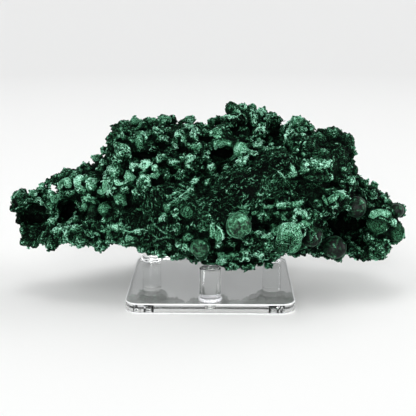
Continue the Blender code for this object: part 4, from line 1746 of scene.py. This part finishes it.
def closed_tube(x, y, z):
    """Places and quads of a ring-shaped tube from grids of steps round it by sides."""
    index = np.arange(x.size).reshape(x.shape)
    after, above = np.roll(index, -1, axis=0), np.roll(index, -1, axis=1)
    corner = np.roll(after, -1, axis=1)
    quads = np.stack([index.ravel(), after.ravel(), corner.ravel(), above.ravel()], 1)
    return np.stack([x.ravel(), y.ravel(), z.ravel()], 1), quads


def cement_rings():
    """The pale ring where the front peg meets the plate: a painted highlight."""
    turn = np.linspace(0, 2 * math.pi, RING_STEPS, endpoint=False)[:, None]
    lean = np.linspace(0, 2 * math.pi, RING_SIDES, endpoint=False)[None, :]
    low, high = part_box(PEGS[0])
    middle = (low + high) / 2
    reach = (high.x - low.x) / 2 + 0.6 * RING_RADIUS + RING_RADIUS * np.cos(lean)
    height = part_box("base_plate")[1].z + RING_HEIGHT * (0.5 + 0.5 * np.sin(lean))
    x, y = middle.x + reach * np.cos(turn), middle.y + reach * np.sin(turn)
    mesh = make_mesh("cement_rings", *closed_tube(x, y, np.broadcast_to(height, x.shape)))
    rings = add_piece("cement_rings", mesh, peg_foot_highlight_material())


# White tubes along the plate's edges: painted highlights of its polished edges
BEVEL_RADIUS = 0.45 * MM
BEVEL_INSET = 0.36 * MM           # from the side faces
BEVEL_DROP = 0.48 * MM            # from the top and bottom faces
BEVEL_RISE = 0.12 * MM            # the top one stands a little higher, to catch the light
BEVEL_SIDES = 8
CORNER_STEPS = 16
CORNER_RADIUS = 9.5 * MM          # of the plate


def edge_highlight_material():
    """Mostly opaque white, for the painted highlight lines along the plate's edges."""
    n = Nodes("frosted_bevel")
    grain = n.noise(n.object_place(), 900.0, 3.0).outputs["Fac"]
    n.surface(base_color=(0.97, 0.98, 0.98, 1), transmission_weight=0.1, ior=1.49,
              roughness=n.math("ADD", n.math("MULTIPLY", grain, 0.4), 0.2))
    return n.material


def plate_bevels():
    """Thin opaque white tubes along the plate's edges: painted highlights of its polished edges."""
    low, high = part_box("base_plate")
    middle = (low + high) / 2
    straight = (high.x - low.x) / 2 - CORNER_RADIUS
    turn = np.concatenate([quarter * math.pi / 2 + np.linspace(0, math.pi / 2, CORNER_STEPS)
                           for quarter in range(4)])
    corner_x = np.repeat(np.array([1, -1, -1, 1]) * straight, CORNER_STEPS) + middle.x
    corner_y = np.repeat(np.array([1, 1, -1, -1]) * straight, CORNER_STEPS) + middle.y
    lean = np.arange(BEVEL_SIDES) * 2 * math.pi / BEVEL_SIDES
    reach = CORNER_RADIUS - BEVEL_INSET + BEVEL_RADIUS * np.cos(lean)[None, :]
    x = corner_x[:, None] + reach * np.cos(turn)[:, None]
    y = corner_y[:, None] + reach * np.sin(turn)[:, None]
    parts = []
    for edge in (low.z + BEVEL_DROP, high.z - BEVEL_DROP + BEVEL_RISE):
        z = np.broadcast_to(edge + BEVEL_RADIUS * np.sin(lean)[None, :], x.shape)
        parts.append(closed_tube(x, y, z))
    edge_highlight_tubes = add_piece("plate_bevels", make_mesh("plate_bevels", *joined(*parts)), edge_highlight_material())


# ---------------------------------------------------------------- stage

FLOOR_SIZE = 40.0
# the far floor colour is darker: painted shade for the light's falloff with distance
FLOOR_NEAR = (0.92, 0.92, 0.91, 1)
FLOOR_FAR = (0.74, 0.74, 0.735, 1)


def make_floor():
    half = FLOOR_SIZE / 2
    mesh = bpy.data.meshes.new("floor")
    mesh.from_pydata([(-half, -half, 0), (half, -half, 0), (half, half, 0), (-half, half, 0)],
                     [], [(0, 1, 2, 3)])
    floor = bpy.data.objects.new("floor", mesh)
    floor.location.z = -0.1 * MM
    bpy.context.scene.collection.objects.link(floor)
    n = Nodes("floor_white")
    where = n.add("ShaderNodeTexCoord").outputs["Object"]
    reach = n.add("ShaderNodeVectorMath", operation="LENGTH")
    n.link(where, reach.inputs[0])
    # painted shade: the floor's colour darkens with distance from the middle
    far = n.math("MULTIPLY", reach.outputs["Value"], 0.6, clamp=True)
    n.link(n.ramp(far, [(0.1, FLOOR_NEAR), (0.9, FLOOR_FAR)]), n.shader.inputs["Base Color"])
    n.shader.inputs["Roughness"].default_value = 0.9
    mesh.materials.append(n.material)


def add_sun(name, azimuth, height, softness, strength):
    """A soft distant light from a direction: azimuth 0 is the front, 90 the right."""
    data = bpy.data.lights.new(name, "SUN")
    data.energy = strength
    data.angle = math.radians(softness)
    light = bpy.data.objects.new(name, data)
    a, e = math.radians(azimuth), math.radians(height)
    toward = Vector((math.sin(a) * math.cos(e), -math.cos(a) * math.cos(e), math.sin(e)))
    light.rotation_euler = toward.to_track_quat("Z", "Y").to_euler()
    bpy.context.scene.collection.objects.link(light)


SKY_LOW = 1.35                    # the studio walls are brighter than its ceiling
SKY_HIGH = 0.42


def make_light():
    add_sun("top_box", 0.0, 90.0, 30.0, 0.5)
    add_sun("front_strip", -5.0, 15.0, 30.0, 2.0)
    add_sun("right_strip", 90.0, 15.0, 30.0, 1.4)
    add_sun("back_corner", 135.0, 35.0, 30.0, 0.4)
    add_sun("left_box", -50.0, 45.0, 30.0, 0.5)
    world = bpy.data.worlds.new("world")
    world.use_nodes = True
    nodes, links = world.node_tree.nodes, world.node_tree.links
    sky = nodes["Background"]
    sky.inputs["Color"].default_value = (0.93, 0.94, 0.95, 1)
    where = nodes.new("ShaderNodeTexCoord")
    split = nodes.new("ShaderNodeSeparateXYZ")
    links.new(where.outputs["Generated"], split.inputs[0])
    fade = nodes.new("ShaderNodeMapRange")
    fade.inputs["From Min"].default_value = 0.0
    fade.inputs["From Max"].default_value = 0.55
    fade.inputs["To Min"].default_value = SKY_LOW
    fade.inputs["To Max"].default_value = SKY_HIGH
    links.new(split.outputs["Z"], fade.inputs["Value"])
    links.new(fade.outputs["Result"], sky.inputs["Strength"])
    bpy.context.scene.world = world
    bpy.context.scene.view_settings.view_transform = "Standard"


# ---------------------------------------------------------------- build

SCALE_COUNT = 2000
SCALE_SPACING = 2.0 * MM
SCALE_SIZE = (0.8 * MM, 1.9 * MM)
SCALE_THICKNESS = 0.22 * MM
RIM_LEAP = 1.8 * MM               # a rim stops where its next spot is farther away than this
RIM_THREADS = 1.0                 # curls for each pixel of a bright rim
THREAD_COUNT = 4800
THREAD_STEPS = 5
THREAD_STRIDE = 0.8 * MM
THREAD_RADIUS = (0.24 * MM, 0.40 * MM)
BLOCK_FLATNESS = math.radians(24)
BLOCK_RIM = 0.22 * MM
# edge values of block borders and faces; the bright border is partly painted highlight
BLOCK_EDGE_TIP = 1.0
BLOCK_FACE_TIP = 0.42
BLOCK_SHADE = 0.18                # tone step from one flat face to the next
BOULDER_TONE = 0.42
# painted light and shade: the boulder's top is painted lighter and its foot darker
BOULDER_PAINTED_TOP_LIGHT = 0.45               # how much brighter its top is, and how much darker its foot
BLOCK_SWELL = 1.06                # a block covers the rounded lump below it
BOULDER_SEAT = (288, 238)
# Corners of the pale block: pixel, then millimetres towards the camera
BOULDER = [
    ((282.5, 223), 1.5), ((293.8, 222), 1.5), ((299, 227), 2.0), ((302.3, 236), 1.5),
    ((300.5, 243), 1.5), ((294, 249), 1.0), ((287.5, 253), 0.0), ((280.5, 249.5), 0.5),
    ((275, 245), 0.5), ((275.5, 236), 1.0), ((278, 229), 1.0),
    ((281.5, 231.5), 4.6), ((291, 230.5), 5.6), ((296.5, 237.5), 5.4), ((290, 244), 5.4),
    ((281, 243), 4.4), ((288, 238), -6.0), ((282, 226), -5.0), ((297, 240), -5.0),
]


def silk_pattern(outward, own):
    """Fibres that spread from each ball's face, growth bands, and painted highlights: a pale band near
    its outline and a pale cap on its upper side.
    """
    facing = unit(np.array([[0.1, 0.0, 0.1]]) - frame_axes()[2])[0]
    across, along = tangents(facing[None])
    polar = np.arccos(np.clip(outward @ facing, -1, 1))
    round_about = np.stack([outward @ across[0], outward @ along[0]], 1)
    round_about = unit(round_about + 1e-9)
    seeds = own[:, None] * 11.3
    fine = np.column_stack([round_about * 15.0, polar * 2.2]) + seeds
    broad = np.column_stack([round_about * 4.5, polar * 1.3]) + seeds
    fibre = 0.6 * soft_noise(fine, 1.0, 77) + 0.4 * soft_noise(broad, 1.0, 78)
    ripple = soft_noise(outward * 3.0 + seeds, 1.0, 79) * 0.1
    ring = np.exp(-((polar + ripple - 1.02) / 0.055) ** 2)
    # painted highlight: a pale band near the ball's outline
    border = np.exp(-((polar + ripple - 1.32) / 0.12) ** 2)
    dark_ring = np.exp(-((polar + ripple - 1.12) / 0.05) ** 2)
    broken = np.clip(0.55 + 1.3 * soft_noise(outward * 2.2 + seeds, 1.0, 80), 0, 1.3)
    # painted highlight: a pale cap on the ball's upper side
    cap = np.clip((outward @ unit(facing[None] * 0.9 + [[0.35, 0, 0.75]])[0] - 0.86)
                  * 5, 0, 1)
    return fibre, (0.55 * ring + 0.9 * border - 0.6 * dark_ring) * broken + 0.8 * cap


def body_values(places, lumps, rims, plates, felt, patches):
    """Tone and silk at each place of the skin, and how far it is in the felt."""
    tone, silk, owned = near_value(places, lumps)
    _, _, own = cell_field(places, 7.5 * MM, 301)
    free_tone = (own[:, 0] - 0.65) * 1.1
    free_silk = np.clip(own[:, 1] * 1.4 - 0.6, 0, 0.8)
    share = felt_share(places, felt)
    free_tone = free_tone * (1 - 0.8 * share) - 0.42 * share
    free_silk = free_silk * (1 - share)
    tone = tone * owned + free_tone * (1 - owned)
    silk = silk * owned + free_silk * (1 - owned)
    tone += tone_patches(places, patches)
    plate_tone, on_plate = plate_values(places, plates)
    tone = tone * (1 - on_plate) + plate_tone * on_plate
    silk = np.maximum(silk, 0.8 * on_plate)
    rim_tone, _, on_rim = near_value(places, rims, 0.4)
    tone = np.maximum(tone, rim_tone * on_rim + tone * (1 - on_rim))
    return tone, silk, share


def roughened(places, normals, silk, share, calm):
    """The skin's fine relief: crumpled, with chips or pits by area, calm on silky parts and balls."""
    rough = np.clip(1 - 1.25 * silk, 0, 1) * (1 - calm)
    wobble = np.stack([soft_noise(places, 2.2 * MM, 31 + k) for k in range(3)], 1) * 0.7 * MM
    walls = np.clip(0.5 + 1.4 * soft_noise(places, 14 * MM, 61), 0, 1)
    chips = crumple(places, normals, 3.0 * MM, 52) * 0.9
    pits = lace(places + wobble, 3.1 * MM, 54) * 1.3
    lift = (crumple(places, normals, 6.0 * MM, 51) * 1.3 * (1 - 0.75 * share)
            + (chips * (1 - walls) + pits * walls) * (1 - 0.5 * share)
            + crumple(places + wobble, normals, 1.5 * MM, 53) * 0.4)
    lift *= (0.1 + 0.9 * rough) * (1 - calm)
    return places + normals * (lift * 0.5 * MM)[:, None]


class Stone:
    """The finished skin, the lumps, balls and areas placed on it, and how open it is."""

    def __init__(self):
        places, faces = stone_base()
        base = BVHTree.FromPolygons(places.tolist(), faces.tolist())
        self.lumps, self.balls = place_lumps(base), place_balls(base)
        hollows, notches = seat_points(base, HOLLOWS), seat_points(base, NOTCHES)
        self.felt = seat_points(base, FELT)
        places, self.faces, rims, self.plates = build_skin(
            base, self.lumps, self.balls, hollows, notches, self.felt)
        normals = vertex_normals(places, self.faces)
        self.patches = seat_points(base, PATCHES)
        tone, silk, share = body_values(places, self.lumps, rims, self.plates, self.felt,
                                        self.patches)
        places = roughened(places, normals, silk, share, ball_nearness(places, *self.balls))
        self.places = keep_off_pegs(settle_on_pegs(places))
        normals = vertex_normals(self.places, self.faces)
        self.space = Openness(self.places, self.faces, SPACE_PITCH)
        self.near, self.far = self.space.blurred(NEAR_BLUR), self.space.blurred(FAR_BLUR)
        # the edge value lightens raised edges (partly painted highlight) and darkens grooves (painted
        # shade); openness darkens closed-in spots as painted shade
        self.values = {"tip": edge_sharpness(self.places, self.faces, normals),
                       "open": self.openness(self.places, normals), "tone": tone, "silk": silk}
        self.tree = BVHTree.FromPolygons(self.places.tolist(), self.faces.tolist())

    def openness(self, spots, facing):
        """How open each spot is to the side it faces: near 0 in a cave, 1 or a little more outside; the
        colour is darkened by it as painted shade.
        """
        near = 1 - self.space.read(self.near, spots + facing * 0.9 * MM)
        far = 1 - self.space.read(self.far, spots + facing * 4.0 * MM)
        return np.clip((near - 0.40) * 2.35, 0, 1.15) ** 1.25 * np.clip((far - 0.22) * 1.95, 0.1, 1)

    def under(self, spots):
        """Tone and silk that spots take from the lumps below them."""
        return near_value(spots, self.lumps)[:2]


def add_part(name, places, faces, material, smooth=True, **values):
    """A piece with the values its material reads: one for all its places, or one for each."""
    mesh = make_mesh(name, places, faces, smooth=smooth)
    for key, numbers in values.items():
        set_values(mesh, key, np.broadcast_to(numbers, len(places)))
    return add_piece(name, mesh, material)


def add_body(stone, crust):
    """The fused skin, cut across its length."""
    cuts = list(np.quantile(stone.places[:, 0], np.arange(1, BODY_SECTIONS) / BODY_SECTIONS))
    sides = [None] + cuts + [None]
    for part in range(BODY_SECTIONS):
        section = add_section(f"malachite_body_{part + 1}", stone.places, stone.faces,
                              stone.values, sides[part], sides[part + 1], crust)
        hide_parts("malachite")


def add_scales(stone, crust, rng):
    """Scales on the crumbly parts."""
    spots, facing = sample_surface(stone.places, stone.faces, 8 * SCALE_COUNT, rng)
    tone, silk = stone.under(spots)
    fit = (ball_nearness(spots, *stone.balls) < 0.1) & (felt_share(spots, stone.felt) < 0.4)
    fit &= (stone.openness(spots, facing) > 0.3) & (silk < ROUND_SILK)
    spots, facing, tone = spots[fit], facing[fit], tone[fit]
    kept = thin_out(spots, SCALE_SPACING)[:SCALE_COUNT]
    spots, facing, tone = spots[kept], facing[kept], tone[kept]
    sizes = rng.uniform(*SCALE_SIZE, len(spots))
    places, faces, tip, own = scales(spots, facing, sizes, rng)
    places = keep_off_pegs(places)
    tone += tone_patches(spots, stone.patches) + rng.uniform(-0.35, 0.45, len(spots))
    # painted light: pale scale edges, partly painted highlight, and painted shade where closed in
    add_part("malachite_scales", places, faces, crust, smooth=False, tip=tip,
             open=stone.openness(places, facing[own]), tone=tone[own], silk=0.6)


def add_threads(stone, crust, rng):
    """Thin threads that wind over the crust, more in front, on felt and along bright rims."""
    spots, facing = sample_surface(stone.places, stone.faces, 6 * THREAD_COUNT, rng)
    share = felt_share(spots, stone.felt)
    keep = (ball_nearness(spots, *stone.balls) < 0.1)
    keep &= (plate_values(spots, stone.plates)[1] < 0.1) & (stone.under(spots)[1] < 0.5)
    front = facing @ -frame_axes()[2] > 0.1
    keep &= rng.random(len(spots)) < 0.2 + 0.3 * front + share
    keep &= stone.openness(spots, facing) > 0.25
    spots = spots[keep][:THREAD_COUNT]
    on_rims, rim_tones = rim_spots(stone.tree, rng)
    tone = np.concatenate([rng.random(len(spots)) * 0.9 - 0.35,
                           rim_tones + rng.uniform(-0.15, 0.35, len(on_rims))])
    spots = np.vstack([spots, on_rims])
    paths, lean = paths_on(stone.tree, spots, THREAD_STEPS, THREAD_STRIDE, 0.35, rng)
    places, faces, own = threads(paths, lean, rng.uniform(*THREAD_RADIUS, len(spots)), 0.5)
    places = keep_off_pegs(places)
    below = stone.under(places)[0] + tone_patches(places, stone.patches)
    # painted light: a raised edge value lightens the threads, partly painted highlight, and painted
    # shade where closed in
    add_part("malachite_threads", places, faces, crust, tip=0.75,
             open=stone.openness(places, lean.reshape(-1, 3).repeat(3, axis=0)),
             tone=0.35 * below + tone[own], silk=0.5)


def add_rims(stone, crust, rng):
    """The named rims, crisp on top of the fused skin."""
    parts, tones, facing = [], [], []
    for value, runs in rim_paths(stone.tree):
        size = np.array([rng.uniform(0.3, 0.42) * MM * (0.8 + 0.5 * value)])
        for path, lean in runs:
            places, faces, _ = threads(path, lean, size, 0.7)
            parts.append((places, faces))
            tones.append(np.full(len(places), value))
            facing.append(lean[0].repeat(3, axis=0))
    places, faces = joined(*parts)
    # painted light: a raised edge value lightens the rims, partly painted highlight, and painted shade
    # where closed in
    add_part("malachite_rims", places, faces, crust, tip=0.8,
             open=stone.openness(places, np.vstack(facing)), tone=np.concatenate(tones), silk=0.6)


def add_blocks(stone, crust, rng):
    """Crisp blocks over the angular lumps, and the boulder."""
    lumps = stone.lumps
    angular = (lumps.silk >= FOLDED_SILK) & (lumps.silk < ROUND_SILK)
    angular |= is_plate(lumps.tone, lumps.silk)
    centres, halves = lumps.centres[angular], lumps.halves[angular] * BLOCK_SWELL
    shapes = block_corners(centres, halves, frame_axes(), rng) + [boulder(stone.tree)]
    tones = np.append(lumps.tone[angular] + tone_patches(centres, stone.patches), BOULDER_TONE)
    painted_top_lights = np.append(np.zeros(len(centres)), BOULDER_PAINTED_TOP_LIGHT)
    places, faces, tip, tone, outward = blocks(shapes, tones, painted_top_lights, rng)
    places = keep_off_pegs(places)
    # painted shade: the blocks are darker where closed in
    add_part("malachite_blocks", places, faces, crust, smooth=False, tip=tip,
             open=stone.openness(places, outward),
             tone=tone + 0.3 * soft_noise(places, 3.5 * MM, 91), silk=0.75)


def add_plates(stone, crust):
    """The named flat faces, a little in front of the skin."""
    toward = -frame_axes()[2]
    places, faces = joined(*[(plate[3] + toward * 0.45 * MM, plate[4]) for plate in stone.plates])
    opened = stone.openness(places, np.tile(toward, (len(places), 1)))
    tone = np.concatenate([np.full(len(plate[3]), plate[2]) for plate in stone.plates])
    # painted shade where closed in, kept mild; a middling edge value
    add_part("malachite_plates", places, faces, crust, smooth=False, tip=0.55,
             open=np.clip(opened, 0.8, 1), tone=tone, silk=0.7)


def add_balls(stone):
    """The silky balls."""
    centres, radii = stone.balls
    places, faces, own = many_spheres(centres, radii, 5)
    outward = unit(places - centres[own])
    places = places + outward * (soft_noise(places, 5 * MM, 5) * 0.6 * MM)[:, None]
    tone = np.array([ball[3] for ball in BALLS.values()])
    fibre, band = silk_pattern(outward, own)
    # painted shade where closed in; band holds growth bands and the painted highlights near the outline
    # and on the upper side
    add_part("malachite_balls", places, faces, silky_material(),
             open=np.clip(stone.openness(places, outward) + 0.1, 0, 1), tone=tone[own],
             streak=fibre, band=band)


def clear_stand():
    """The looks of the stand's CAD pieces, and the painted highlights at the front peg's foot and along
    the plate's edges.
    """
    acrylic = acrylic_material()
    for name in ("base_plate",) + PEGS:
        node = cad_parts[name]
        node.data.materials.clear()
        node.data.materials.append(acrylic)
    cement_rings()
    plate_bevels()


def main():
    make_camera()
    stone = Stone()
    crust = crust_material()
    add_body(stone, crust)
    rng = np.random.default_rng(BODY_SEED + 1)
    add_scales(stone, crust, rng)
    add_threads(stone, crust, rng)
    add_rims(stone, crust, rng)
    add_blocks(stone, crust, rng)
    add_plates(stone, crust)
    add_balls(stone)
    clear_stand()
    make_floor()
    make_light()


main()
